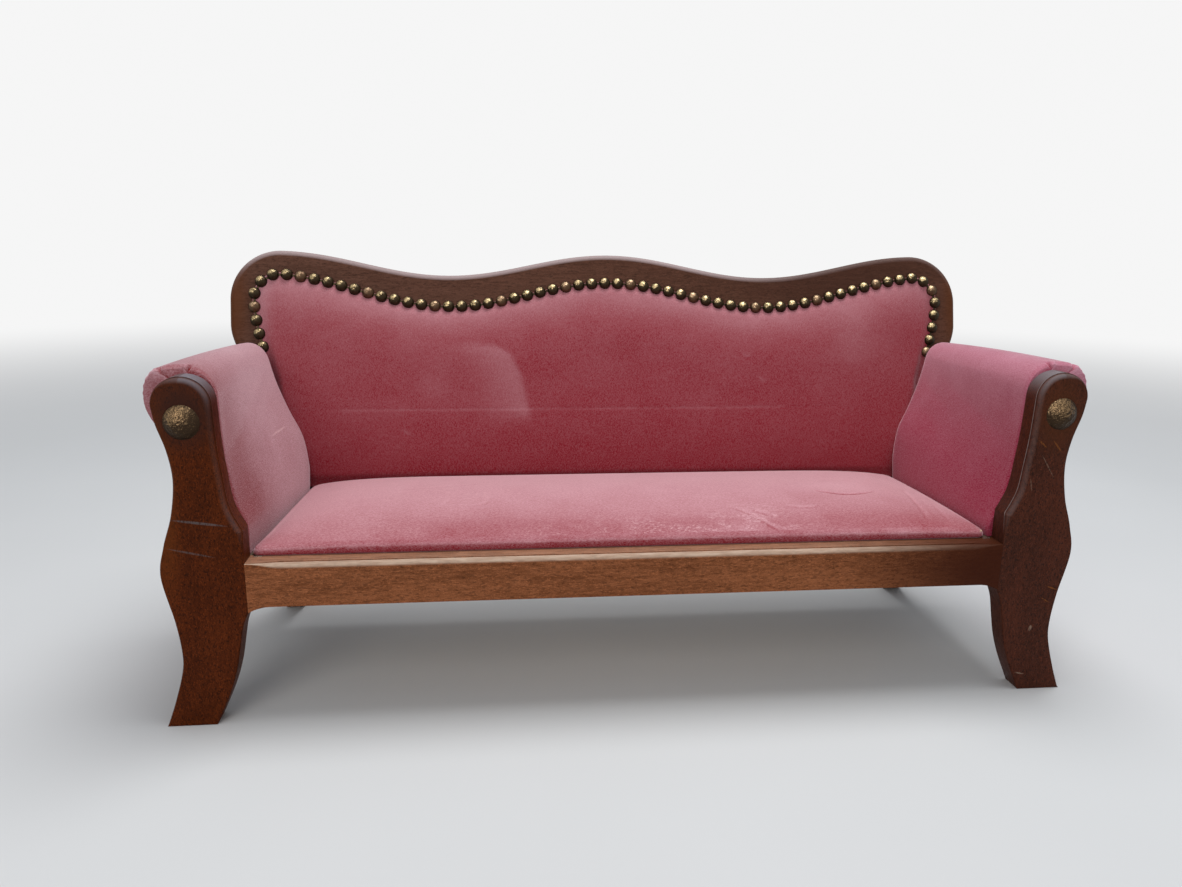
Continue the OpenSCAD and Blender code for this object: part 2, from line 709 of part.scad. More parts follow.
module arm_cover() {
    color(velvet) loft([for (k = [0 : len(cover_shares) - 1]) let (
        t = cover_shares[k], surface = arm_surface(t),
        edge = [for (i = [0 : len(surface) - 1]) cover_insets[k] * (i < 3 ? 0 : i < 6 ? 0.5 : 1)],
        out = [for (i = [0 : len(surface) - 1]) surface[i] + open_inward(surface, i) * edge[i]],
        in = [for (i = [0 : len(surface) - 1]) surface[i] + open_inward(surface, i) * (edge[i] + velvet_t)]
    ) [for (p = concat(out, reversed(in))) arm_point(p, t)]]);
}
module left_arm_cover() { on_left() arm_cover(); }
module right_arm_cover() { on_right() arm_cover(); }

module arm_padding() {
    color(wadding) loft([for (k = [0 : len(padding_shares) - 1]) let (
        t = padding_shares[k], surface = inset_path(arm_surface(t, 3), padding_insets[k]),
        low_in = surface[len(surface) - 1].y
    ) [for (p = concat(surface, arm_core(t, low_in, surface[0].y))) arm_point(p, t)]]);
}
module left_arm_padding() { on_left() arm_padding(); }
module right_arm_padding() { on_right() arm_padding(); }

facing_t = 1.5;
module arm_facing() {
    face = inset_path(arm_surface(0, 3), 6.8);
    color(velvet) translate([0, arm_front_y + facing_t, 0]) rotate([90, 0, 0]) linear_extrude(facing_t)
        polygon(concat(face, arm_core(0, face[len(face) - 1].y, face[0].y)));
}
module left_arm_facing() { on_left() arm_facing(); }
module right_arm_facing() { on_right() arm_facing(); }

// Nails

strip_y = -velvet_t - 0.2;
strip_t = 0.5;
shank_d = 1.3;
shank_l = 13;
// How much deeper than its nail a hole is
hole_end = 0.5;
module dome(d, rise) {
    r = (d * d / 4 + rise * rise) / (2 * rise);
    rotate([90, 0, 0]) intersection() {
        translate([0, 0, rise - r]) sphere(r, $fn = 40);
        cylinder(h = rise + 1, d = d + 1, $fn = 40);
    }
}
module nail_hole(p) {
    translate([p.x, -1, p.y]) rotate([-90, 0, 0])
        cylinder(h = shank_l + 1 + hole_end, d = shank_d + 2 * play, $fn = 24);
}
module strip_link(p, q) {
    d = q - p;
    translate([p.x, strip_y - strip_t, p.y]) rotate([0, -atan2(d.y, d.x), 0])
        translate([0, 0, -1.2]) cube([norm(d), strip_t, 2.4]);
}

module nail_strip() {
    color(brass) on_back() difference() {
        union() {
            for (k = [0 : len(nails) - 1]) translate([nails[k].x, strip_y, nails[k].y]) {
                if (is_real(k)) rotate([90, 0, 0]) cylinder(h = strip_t, d = 6, $fn = 32);
                else dome(nail_d, nail_rise);
            }
            for (k = [0 : len(nails) - 2]) strip_link(nails[k], nails[k + 1]);
        }
        for (p = real_nails) translate([p.x, strip_y + 1, p.y]) rotate([90, 0, 0])
            cylinder(h = strip_t + 2, d = shank_d + 0.6, $fn = 24);
    }
}

module strip_nails() {
    color(brass) on_back() for (p = real_nails) translate([p.x, strip_y - strip_t - play, p.y]) {
        dome(nail_d, nail_rise);
        rotate([-90, 0, 0]) cylinder(h = shank_l, d = shank_d, $fn = 24);
    }
}

boss_shank_d = 4;
boss_shank_l = 34;
module boss_hole() {
    translate([arm_x, -1, boss_z]) rotate([-90, 0, 0])
        cylinder(h = boss_shank_l + 1 + hole_end, d = boss_shank_d + 2 * play, $fn = 32);
}
module boss_nail() {
    color(brass) {
        translate([arm_x, 0, boss_z]) dome(boss_d, boss_rise);
        translate([arm_x, -1, boss_z]) rotate([-90, 0, 0])
            cylinder(h = boss_shank_l + 1, d = boss_shank_d, $fn = 32);
    }
}
module left_boss_nail() { on_left() boss_nail(); }
module right_boss_nail() { on_right() boss_nail(); }

// Dowels, screws and staples

// Distance of the seat's screws from a post's inner edge
screw_inset = 26;

rail_dowel_z = [leg_h + rail_h * 0.28, leg_h + rail_h * 0.72];
arm_dowel_z = [leg_h + 14, in_arm(0.4)];
leg_screw_z = [leg_h + rail_h * 0.3, leg_h + rail_h * 0.75];
side_screw_v = [12, 52, 92];
rail_screws = [for (x = [-0.75, -0.25, 0.25, 0.75]) [x * joint_x, board_low / 2]];
back_screws = concat(
    rail_screws, [for (v = side_screw_v) [arm_x, v]], [for (v = side_screw_v) [-arm_x, v]]
);
seat_screw_y = [board_t + screw_inset, leg_front - 20];

module rail_dowel(z, grow) {
    translate([joint_x - dowel_l / 2 - 4 * grow, board_t / 2, z]) rotate([0, 90, 0])
        cylinder(h = dowel_l + 8 * grow, d = dowel_d + 2 * grow, $fn = 32);
}
module arm_dowel(z, grow) {
    translate([arm_x, board_t - 14 - 4 * grow, z]) rotate([-90, 0, 0])
        cylinder(h = dowel_l + 8 * grow, d = dowel_d + 2 * grow, $fn = 32);
}
module rail_dowels() {
    color(pale_wood) placed() for (s = [0, 1], z = rail_dowel_z) mirror([s, 0, 0]) rail_dowel(z, 0);
}
module arm_dowels() {
    color(pale_wood) placed() for (s = [0, 1], z = arm_dowel_z) mirror([s, 0, 0]) arm_dowel(z, 0);
}

// A countersunk screw along Z: its head's flat face is at 0 and its tip at length l
module screw(l, grow) {
    cylinder(h = screw_d * 0.55, d1 = 2 * screw_d + 2 * grow, d2 = screw_d + 2 * grow, $fn = 32);
    cylinder(h = l + 4 * grow, d = screw_d + 2 * grow, $fn = 32);
    if (grow > 0) translate([0, 0, -1]) cylinder(h = 1, d = 2 * screw_d + 2 * grow, $fn = 32);
}
module back_screw(p, grow) {
    translate([p.x, board_t - 0.2, p.y]) rotate([90, 0, 0]) screw(min(screw_l, board_t * 1.9), grow);
}
module back_board_screws() { color(iron) on_back() for (p = back_screws) back_screw(p, 0); }

module leg_screw(z, grow) {
    translate([side_in - board_t + 0.2, lerp(leg_front, back_y(leg_h), 0.5), z]) rotate([0, 90, 0])
        screw(board_t * 1.7, grow);
}
module rear_leg_screws() {
    color(iron) placed() for (s = [0, 1], z = leg_screw_z) mirror([s, 0, 0]) leg_screw(z, 0);
}

module seat_screw(y, grow) {
    translate([joint_x - screw_inset, y, seat_h - board_t + 0.2])
        screw(panel_z + panel_t - seat_h + board_t - 1.4, grow);
}
module seat_screws() {
    color(iron) placed() for (s = [0, 1], y = seat_screw_y) mirror([s, 0, 0]) seat_screw(y, 0);
}

// Staples: wire bridges over the seat's front corners and along the arms' hems
module staple(w) {
    cube([w, 0.6, 0.6]);
}
module seat_staples() {
    color(iron) placed() for (s = [0, 1]) mirror([s, 0, 0])
        translate([seat_wide - 3, seat_front - 1, seat_h]) staple(6);
}
module arm_staples() {
    color(iron) placed() for (s = [0, 1], y = [30 : 24 : leg_front]) mirror([s, 0, 0])
        translate([outer_x + 0.65, y, hem_z + 4]) rotate([0, 0, 90]) staple(8);
}

front_rail();
left_front_post();
right_front_post();
back_board();
left_side_board();
right_side_board();
left_rear_leg();
right_rear_leg();
back_rail();
left_seat_cleat();
right_seat_cleat();
left_corner_block();
right_corner_block();
seat_panel();
seat_padding();
seat_cover();
back_padding();
back_cover();
left_arm_padding();
right_arm_padding();
left_arm_cover();
right_arm_cover();
left_arm_facing();
right_arm_facing();
nail_strip();
strip_nails();
left_boss_nail();
right_boss_nail();
rail_dowels();
arm_dowels();
back_board_screws();
rear_leg_screws();
seat_screws();
seat_staples();
arm_staples();
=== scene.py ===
"""A doll's sofa on sabre legs, dressed in dusty rose velvet, antique brass nails and stained beech.

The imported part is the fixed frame. Sizes are millimetres in the sofa's own place: X across,
Y from the front of the posts to the back and Z up from the floor.
"""

import json
import logging
import math
from dataclasses import dataclass
from enum import Enum

import bmesh
import bpy
import numpy as np
from mathutils import Matrix, Vector

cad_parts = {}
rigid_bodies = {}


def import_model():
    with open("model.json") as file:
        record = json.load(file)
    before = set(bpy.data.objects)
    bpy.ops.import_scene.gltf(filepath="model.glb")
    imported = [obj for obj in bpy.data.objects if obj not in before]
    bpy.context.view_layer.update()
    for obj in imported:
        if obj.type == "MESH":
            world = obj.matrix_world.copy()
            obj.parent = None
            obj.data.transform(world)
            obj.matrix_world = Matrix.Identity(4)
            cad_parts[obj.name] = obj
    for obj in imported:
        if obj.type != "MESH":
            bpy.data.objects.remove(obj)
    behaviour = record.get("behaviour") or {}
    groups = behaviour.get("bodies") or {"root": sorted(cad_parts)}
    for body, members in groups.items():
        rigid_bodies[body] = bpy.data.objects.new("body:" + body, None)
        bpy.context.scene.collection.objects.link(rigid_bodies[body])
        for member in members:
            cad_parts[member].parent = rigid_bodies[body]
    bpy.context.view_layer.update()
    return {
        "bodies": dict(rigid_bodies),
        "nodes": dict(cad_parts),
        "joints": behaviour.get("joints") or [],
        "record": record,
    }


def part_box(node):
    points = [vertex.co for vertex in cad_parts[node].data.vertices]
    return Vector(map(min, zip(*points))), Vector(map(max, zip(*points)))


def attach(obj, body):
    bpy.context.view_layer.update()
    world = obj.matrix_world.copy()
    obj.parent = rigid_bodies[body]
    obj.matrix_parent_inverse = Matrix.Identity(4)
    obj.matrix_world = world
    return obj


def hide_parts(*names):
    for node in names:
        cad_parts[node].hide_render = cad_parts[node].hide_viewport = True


LOG = logging.getLogger("sofa")
MM = 0.001
Array = np.ndarray
Values = np.ndarray | float
Colour = tuple[float, float, float]
Finish = bpy.types.Material
Piece = bpy.types.Object
Socket = bpy.types.NodeSocket

# Steps of a board's round-over, and the share of it that is a small step in the side
ROUND_STEPS = 9
MOULDING_STEP = 0.12


class Side(Enum):
    """The two ends of the sofa."""

    LEFT = -1
    RIGHT = 1


class Grain(Enum):
    """Which way the grain of a board runs."""

    ACROSS = (0.0, 0.0, 0.0)
    UPRIGHT = (0.0, 90.0, 0.0)
    DEPTH = (0.0, 0.0, 90.0)


@dataclass(frozen=True)
class SofaSizes:
    """Sizes that the sub-assemblies share."""

    front_y: float
    half_w: float
    seat_h: float
    leg_h: float
    board_t: float
    post_h: float
    seat_depth: float
    back_lean: float = 13.5
    post_w: float = 59.0
    arm_inset: float = 25.0
    head_r: float = 20.0
    corner_r: float = 46.0
    moulding: float = 4.5
    block_rise: float = 24.0
    rail_drop: float = 4.4

    @classmethod
    def of_frame(cls) -> "SofaSizes":
        """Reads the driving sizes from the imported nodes.

        Returns:
            The sizes, in millimetres, with front_y in metres.
        """
        rail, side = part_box("front_rail"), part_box("left_side_board")
        front_y = rail[0].y
        return cls(
            front_y=front_y,
            half_w=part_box("back_board")[1].x / MM,
            seat_h=rail[1].z / MM,
            leg_h=side[0].z / MM,
            board_t=(side[1].x - side[0].x) / MM,
            post_h=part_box("left_front_post")[1].z / MM,
            seat_depth=(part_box("back_rail")[1].y - front_y) / MM,
        )

    @property
    def joint_x(self) -> float:
        """Distance of a post's inner edge from the middle."""
        return self.half_w - self.post_w

    @property
    def arm_x(self) -> float:
        """Distance of an arm's middle from the sofa's."""
        return self.half_w - self.arm_inset

    @property
    def arm_h(self) -> float:
        """Height of a post above the seat."""
        return self.post_h - self.seat_h

    @property
    def side_in(self) -> float:
        """Distance of a side board's inner face from the middle."""
        return self.arm_x - self.board_t / 2

    @property
    def side_out(self) -> float:
        """Distance of a side board's outer face from the middle."""
        return self.arm_x + self.board_t / 2

    @property
    def lean(self) -> float:
        """Lean of the back, in radians."""
        return math.radians(self.back_lean)

    def in_arm(self, share: float) -> float:
        """Height at a share of the way from the seat to the top of a post."""
        return self.seat_h + share * self.arm_h

    def back_y(self, z: Values, off: float = 0.0) -> Values:
        """Depth of the back's front plane at a height, less a distance off it."""
        return self.seat_depth + (z - self.seat_h) * math.tan(self.lean) - off / math.cos(self.lean)

    def on_back(self, points: Array) -> Array:
        """Turns points of the leaning back (across, through and up it) to the sofa's own place.

        Args:
            points: Rows of x, y and v, with y from the board's front face to its rear.

        Returns:
            Rows of x, y and z.
        """
        x, y, v = np.moveaxis(np.asarray(points, float), -1, 0)
        cos, sin = math.cos(self.lean), math.sin(self.lean)
        return np.stack([x, self.seat_depth + y * cos + v * sin, self.seat_h + v * cos - y * sin], -1)

    def in_frame(self, points: Array) -> Array:
        """Millimetres in the sofa's own place, as metres in the part's frame."""
        return np.asarray(points, float) * MM + np.array([0.0, self.front_y, 0.0])


def ease(t: Values) -> Values:
    """A smooth step from 0 to 1."""
    return (1 - np.cos(np.pi * np.clip(t, 0, 1))) / 2


def mix(a: Values, b: Values, t: Values) -> Values:
    """The value at share t of the way from a to b."""
    return a + (b - a) * t


def through(a: Array, b: Array, c: Array, d: Array, t: Values) -> Array:
    """The smooth curve between b and c at share t, where a and d are the points beyond them."""
    return (2 * b + (c - a) * t + (2 * a - 5 * b + 4 * c - d) * t**2 + (3 * b - a - 3 * c + d) * t**3) / 2


def smooth_curve(points: list, steps: int) -> Array:
    """A Catmull-Rom curve through points.

    Args:
        points: The points that it passes.
        steps: Steps from one point to the next.

    Returns:
        Its points, the first and the last ones included.
    """
    p = np.asarray(points, float)
    padded = np.vstack([p[:1], p, p[-1:]])
    t = np.arange(steps)[:, None] / steps
    parts = [through(a, b, c, d, t) for a, b, c, d in zip(padded, padded[1:], padded[2:], padded[3:])]
    return np.vstack(parts + [p[-1:]])


def finer(grid: Array, rows: int, columns: int) -> Array:
    """Values on a grid, with more points put in along smooth curves.

    Args:
        grid: An array of rows, columns and values.
        rows: Rows wanted.
        columns: Columns wanted.

    Returns:
        The finer array.
    """
    for axis, count in ((0, rows), (1, columns)):
        size = grid.shape[axis]
        at = np.linspace(0, size - 1, count)
        low = np.clip(at.astype(int), 0, size - 2)
        t = (at - low).reshape([-1 if k == axis else 1 for k in range(grid.ndim)])
        grid = through(*(np.take(grid, np.clip(low + k, 0, size - 1), axis) for k in (-1, 0, 1, 2)), t)
    return grid


def arc(centre: tuple, rx: float, ry: float, start: float, end: float, steps: int,
        power: float = 1.0) -> Array:
    """An elliptic arc.

    Args:
        centre: Its centre.
        rx: Its half width.
        ry: Its half height.
        start: The angle of its first point, in degrees.
        end: The angle of its last point.
        steps: Steps between them.
        power: Below 1 for a quarter that is fuller than an ellipse.

    Returns:
        Its points.
    """
    a = np.radians(np.linspace(start, end, steps + 1))
    unit = np.stack([np.cos(a), np.sin(a)], 1)
    unit[np.abs(unit) < 1e-12] = 0
    return centre + np.array([rx, ry]) * (np.sign(unit) * np.abs(unit) ** power)


def inward(outline: Array, closed: bool = True) -> Array:
    """Unit directions to the left of travel at each point of an outline."""
    along = np.roll(outline, -1, 0) - np.roll(outline, 1, 0) if closed else np.gradient(outline, axis=0)
    return along[:, ::-1] * [-1, 1] / np.linalg.norm(along, axis=1, keepdims=True)


def lengths(path: Array) -> Array:
    """Length along a path at each of its points."""
    return np.concatenate([[0], np.cumsum(np.linalg.norm(np.diff(path, axis=0), axis=1))])


def resampled(path: Array, count: int) -> Array:
    """A path's points again, count of them, at equal steps of length."""
    run = lengths(path)
    return np.stack([np.interp(np.linspace(0, run[-1], count), run, axis) for axis in path.T], 1)


def coons(low: Array, high: Array, left: Array, right: Array) -> Array:
    """A grid of points inside four edges that meet at their ends.

    Args:
        low: The lower edge, from the left.
        high: The upper edge, from the left.
        left: The left edge, from below.
        right: The right edge, from below.

    Returns:
        An array of rows, columns and coordinates.
    """
    u = np.linspace(0, 1, len(low))[None, :, None]
    v = np.linspace(0, 1, len(left))[:, None, None]
    ruled = (1 - v) * low[None] + v * high[None] + (1 - u) * left[:, None] + u * right[:, None]
    corners = ((1 - u) * (1 - v) * low[0] + u * (1 - v) * low[-1]
               + (1 - u) * v * high[0] + u * v * high[-1])
    return ruled - corners


def border_of(grid: Array) -> Array:
    """A grid's border, once round, anticlockwise from its first corner."""
    return np.concatenate([grid[0, :-1], grid[:-1, -1], grid[-1, :0:-1], grid[:0:-1, 0]])


def distance_to(path: Array, points: Array) -> Array:
    """Distance of points from the nearest point of a path.

    Args:
        path: The path's points, close together.
        points: Plan points, in any shape.

    Returns:
        A distance for each.
    """
    flat = points.reshape(-1, 2)
    best = np.full(len(flat), np.inf)
    for chunk in np.array_split(path, max(1, len(path) // 64)):
        best = np.minimum(best, np.linalg.norm(flat[:, None] - chunk[None], axis=2).min(1))
    return best.reshape(points.shape[:-1])


def off_path(points: Array, path: Array) -> tuple[Array, Array]:
    """How far plan points lie from a path, and how far along it.

    Args:
        points: Plan points, in any shape.
        path: The path's points, close together.

    Returns:
        The distance, below 0 to the right of travel, and the share of the way along.
    """
    flat, shape = points.reshape(-1, 2), points.shape[:-1]
    gaps = np.linalg.norm(flat[:, None] - path[None], axis=2)
    nearest = gaps.argmin(1)
    along = np.gradient(path, axis=0)[nearest]
    away = flat - path[nearest]
    side = np.where(along[:, 0] * away[:, 1] < along[:, 1] * away[:, 0], -1, 1)
    off = gaps[np.arange(len(flat)), nearest] * side
    return off.reshape(shape), (nearest / (len(path) - 1)).reshape(shape)


def bump_at(points: Array, centre: tuple, half: tuple) -> Array:
    """A soft round bump of height 1 about a centre, with half sizes across and along."""
    return np.exp(-(((points - centre) / half) ** 2).sum(-1))


def line_at(value: Values, middle: float, half: float) -> Values:
    """A soft ridge of height 1 where a value passes its middle, with a half width."""
    return np.exp(-(((value - middle) / half) ** 2))


def dome(radius: float, rise: float, steps: int, tip: float = 0.0) -> list[tuple[float, float]]:
    """A domed profile, from near its top to its rim.

    Args:
        radius: The rim's radius.
        rise: The top's height above it.
        steps: How many points.
        tip: The angle of the first, in radians.

    Returns:
        Pairs of radius and height.
    """
    ball = (radius**2 + rise**2) / (2 * rise)
    reach = math.asin(min(1.0, radius / ball))
    return [(ball * math.sin(a), rise - ball + ball * math.cos(a)) for a in np.linspace(tip, reach, steps)]


def ripple(points: Array, seed: int, wave: float) -> Array:
    """A gentle, seeded unevenness between -1 and 1, from crossed waves.

    Args:
        points: Plan points, in any shape.
        seed: The seed of the waves' turns and phases.
        wave: The longest wave.

    Returns:
        A value for each point.
    """
    rng = np.random.default_rng(seed)
    total = np.zeros(points.shape[:-1])
    shrinks = [1.0, 1.7, 1.7**2]
    for shrink in shrinks:
        for _ in range(4):
            turn, phase = rng.uniform(0, 2 * np.pi, 2)
            along = points[..., 0] * math.cos(turn) + points[..., 1] * math.sin(turn)
            total += np.sin(along * 2 * np.pi / (wave / shrink) + phase) / shrink
    return total / (4 * sum(1 / shrink for shrink in shrinks) / 1.6)


class Solid:
    """A closed mesh that grows ring by ring."""

    def __init__(self) -> None:
        """Starts with no points and no faces."""
        self.points: list[Array] = []
        self.faces: list[list[int]] = []
        self.facts: dict[str, list[Array]] = {}
        self.count = 0

    def add(self, points: Array, **facts: Values) -> Array:
        """Adds points, with values for the finish to read, such as abrasion or the look of the nap, which
        carry painted highlights and shade too.

        Args:
            points: Rows of x, y and z, in any shape.
            facts: One value for all the points, or one for each.

        Returns:
            The points' numbers, in the shape that the points came in.
        """
        points = np.asarray(points, float)
        shape = points.shape[:-1]
        total = int(np.prod(shape))
        self.points.append(points.reshape(-1, 3))
        for name in set(self.facts) | set(facts):
            held = self.facts.setdefault(name, [np.zeros(self.count)])
            held.append(np.broadcast_to(facts.get(name, 0.0), shape).reshape(-1))
        self.count += total
        return np.arange(self.count - total, self.count).reshape(shape)

    def band(self, a: Array, b: Array, closed: bool = True) -> None:
        """Joins two rings of numbers with squares, all round or from their starts to their ends."""
        squares = np.column_stack([a, np.roll(a, -1), np.roll(b, -1), b])
        self.faces += squares[: len(a) if closed else -1].tolist()

    def grid(self, numbers: Array) -> None:
        """Fills a grid of numbers with squares."""
        for row, above in zip(numbers, numbers[1:]):
            self.band(row, above, closed=False)

    def cap(self, ring: Array) -> None:
        """Closes a ring with one face."""
        self.faces.append([int(i) for i in ring])

    def loft(self, rings: list[Array], **facts: list | tuple) -> "Solid":
        """Adds rings that are joined with squares and closed at both ends.

        Args:
            rings: Their points.
            facts: For each ring, its value or values.

        Returns:
            The same solid.
        """
        numbers = [self.add(ring, **{name: values[k] for name, values in facts.items()})
                   for k, ring in enumerate(rings)]
        for a, b in zip(numbers, numbers[1:]):
            self.band(a, b)
        self.cap(numbers[0])
        self.cap(numbers[-1])
        return self

    def mesh(self, name: str, points: Array) -> bpy.types.Mesh:
        """Makes the mesh, with its faces outwards and its values as attributes.

        Args:
            name: Its name.
            points: Its points, in metres.

        Returns:
            The mesh.
        """
        mesh = bpy.data.meshes.new(name)
        mesh.from_pydata(points.tolist(), [], self.faces)
        for fact, values in self.facts.items():
            layer = mesh.attributes.new(fact, "FLOAT", "POINT")
            layer.data.foreach_set("value", np.concatenate(values).astype(np.float32))
        work = bmesh.new()
        work.from_mesh(mesh)
        bmesh.ops.remove_doubles(work, verts=work.verts, dist=1e-7)
        bmesh.ops.recalc_face_normals(work, faces=work.faces)
        work.to_mesh(mesh)
        work.free()
        return mesh

    def piece(self, name: str, sizes: SofaSizes, material: Finish, crease: float) -> Piece:
        """Makes the Blender object, sharp at edges that turn by more degrees than its crease."""
        points = sizes.in_frame(np.vstack(self.points))
        return finished(name, self.mesh(name, points), material, crease)


def linked(name: str, data: bpy.types.ID) -> Piece:
    """Puts a new object in the scene."""
    bpy.context.scene.collection.objects.link(made := bpy.data.objects.new(name, data))
    return made


def finished(name: str, mesh: bpy.types.Mesh, material: Finish, crease: float = 35.0) -> Piece:
    """Links a mesh as a smooth shaded object with one finish.

    Args:
        name: The object's name.
        mesh: Its mesh.
        material: Its finish.
        crease: Edges that turn by more degrees than this are sharp.

    Returns:
        The object.
    """
    mesh.materials.clear()
    mesh.materials.append(material)
    mesh.shade_smooth()
    mesh.set_sharp_from_angle(angle=math.radians(crease))
    return linked(name, mesh)


def settle(piece: Piece, slot: str, *nodes: str) -> None:
    """Lets a piece ride on the sofa in place of its nodes, and reports it.

    Args:
        piece: The piece.
        slot: The slot of its finish; not used.
        nodes: The nodes that it replaces.
    """
    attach(piece, "root")
    if nodes:
        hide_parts(*nodes)
    LOG.info("%s: %d faces, for %s", piece.name, len(piece.data.polygons), ", ".join(nodes))


class Wiring:
    """A tree of nodes that is built by short calls."""

    def __init__(self, tree: bpy.types.NodeTree) -> None:
        """Starts on a tree."""
        self.tree = tree

    def feed(self, socket: Socket, value: object) -> None:
        """Links into a socket, or sets its value.

        Args:
            socket: The input.
            value: A node, of which the first output is taken, or a socket or a plain value.
        """
        if isinstance(value, bpy.types.Node):
            value = value.outputs[0]
        if isinstance(value, Socket):
            self.tree.links.new(value, socket)
        elif isinstance(value, tuple) and socket.type == "RGBA":
            socket.default_value = (*value, 1.0)
        else:
            socket.default_value = value

    def node(self, kind: str, inputs: dict | None = None, **settings: object) -> bpy.types.Node:
        """Adds a node, sets its properties and fills its inputs.

        Args:
            kind: The node's type.
            inputs: Nodes, sockets or values for its inputs, by name or number.
            settings: Its properties.

        Returns:
            The node.
        """
        made = self.tree.nodes.new(kind)
        for name, value in settings.items():
            setattr(made, name, value)
        for key, value in (inputs or {}).items():
            self.feed(made.inputs[key], value)
        return made

    def math(self, operation: str, a: object, b: object) -> Socket:
        """A sum, product or the like of two values."""
        return self.node("ShaderNodeMath", {0: a, 1: b}, operation=operation).outputs[0]

    def background_rays(self) -> Socket:
        """Finds the rays that show the background: from the camera, by gloss or through glass.

        Returns:
            1 for them.
        """
        path = self.node("ShaderNodeLightPath").outputs
        seen = self.math("MAXIMUM", path["Is Camera Ray"], path["Is Glossy Ray"])
        return self.math("MAXIMUM", seen, path["Is Transmission Ray"])


class Shade(Wiring):
    """One material's nodes, with a short call for each kind in use."""

    def __init__(self, name: str) -> None:
        """Starts with the shader and the object's own coordinates.

        Args:
            name: The material's name.
        """
        self.material = bpy.data.materials.new(name)
        self.material.use_nodes = True
        super().__init__(self.material.node_tree)
        self.shader = self.tree.nodes["Principled BSDF"]
        self.place = self.node("ShaderNodeTexCoord").outputs["Object"]

    def fixed(self, **values: object) -> None:
        """Sets the shader's own sockets, named with underscores for their spaces."""
        for name, value in values.items():
            self.feed(self.shader.inputs[name.replace("_", " ")], value)

    def mapped(self, centre: tuple = (0, 0, 0), turn: tuple = (0, 0, 0), size: tuple = (1, 1, 1)) -> Socket:
        """The object's coordinates about a centre, turned in degrees and measured in a size."""
        inputs = {"Vector": self.place, "Location": centre, "Rotation": np.radians(turn), "Scale": size}
        return self.node("ShaderNodeMapping", inputs, vector_type="TEXTURE").outputs[0]

    def noise(self, vector: Socket, scale: float, detail: float = 2.0, rough: float = 0.5,
              bend: float = 0.0) -> Socket:
        """Noise between 0 and 1."""
        inputs = dict(Vector=vector, Scale=scale, Detail=detail, Roughness=rough, Distortion=bend)
        return self.node("ShaderNodeTexNoise", inputs).outputs["Fac"]

    def patch(self, centre: tuple, half: tuple, turn: float = 0.0) -> Socket:
        """A soft spot that fades from 1 at its centre to 0 at its half sizes."""
        place = {"Vector": self.mapped(centre, (0, turn, 0), half)}
        return self.node("ShaderNodeTexGradient", place, gradient_type="SPHERICAL").outputs["Fac"]

    def spread(self, value: object, low: float, high: float, a: float = 0.0, b: float = 1.0) -> Socket:
        """A value stretched from low to high onto a to b, and held between them."""
        inputs = {"Value": value, "From Min": low, "From Max": high, "To Min": a, "To Max": b}
        return self.node("ShaderNodeMapRange", inputs, interpolation_type="SMOOTHSTEP").outputs["Result"]

    def plus(self, a: object, b: object) -> Socket:
        """The sum of two values."""
        return self.math("ADD", a, b)

    def times(self, a: object, b: object) -> Socket:
        """The product of two values."""
        return self.math("MULTIPLY", a, b)

    def blend(self, share: object, a: object, b: object) -> Socket:
        """Two colours mixed by a share."""
        return self.node("ShaderNodeMix", {"Factor": share, 6: a, 7: b}, data_type="RGBA").outputs[2]

    def fact(self, name: str) -> Socket:
        """A value that the piece's points carry."""
        return self.node("ShaderNodeAttribute", attribute_name=name).outputs["Fac"]

    def relief(self, *layers: tuple) -> None:
        """Gives the shader bumps.

        Args:
            layers: For each, its height, its depth in metres and its strength.
        """
        normal = {}
        for height, depth, strength in layers:
            bump = {"Strength": strength, "Distance": depth, "Height": height}
            normal = {"Normal": self.node("ShaderNodeBump", {**bump, **normal})}
        self.fixed(**normal)


@dataclass(frozen=True)
class Mark:
    """A scratch, dent, stain or rubbed spot: its centre and half sizes in millimetres, and its turn."""

    centre: tuple[float, float, float]
    half: tuple[float, float, float]
    turn: float
    colour: Colour
    strength: float = 1.0
    soft: bool = False

    def over(self, shade: Shade, sizes: SofaSizes, colour: Socket, flecks: Socket) -> Socket:
        """Lays the mark over a colour.

        Args:
            shade: The material that it belongs to.
            sizes: The sofa's sizes, for its place in the frame.
            colour: The colour below it.
            flecks: Noise that breaks a hard mark up.

        Returns:
            The colour with the mark.
        """
        centre = tuple(float(c) for c in sizes.in_frame(self.centre))
        spot = shade.patch(centre, tuple(h * MM for h in self.half), self.turn)
        if self.soft:
            share = shade.spread(spot, 0.0, 0.8)
        else:
            broken = shade.spread(flecks, 0.32, 0.6, 0.3, 1.0)
            share = shade.times(shade.spread(spot, 0.0, 0.45), broken)
        return shade.blend(shade.times(share, self.strength), colour, self.colour)


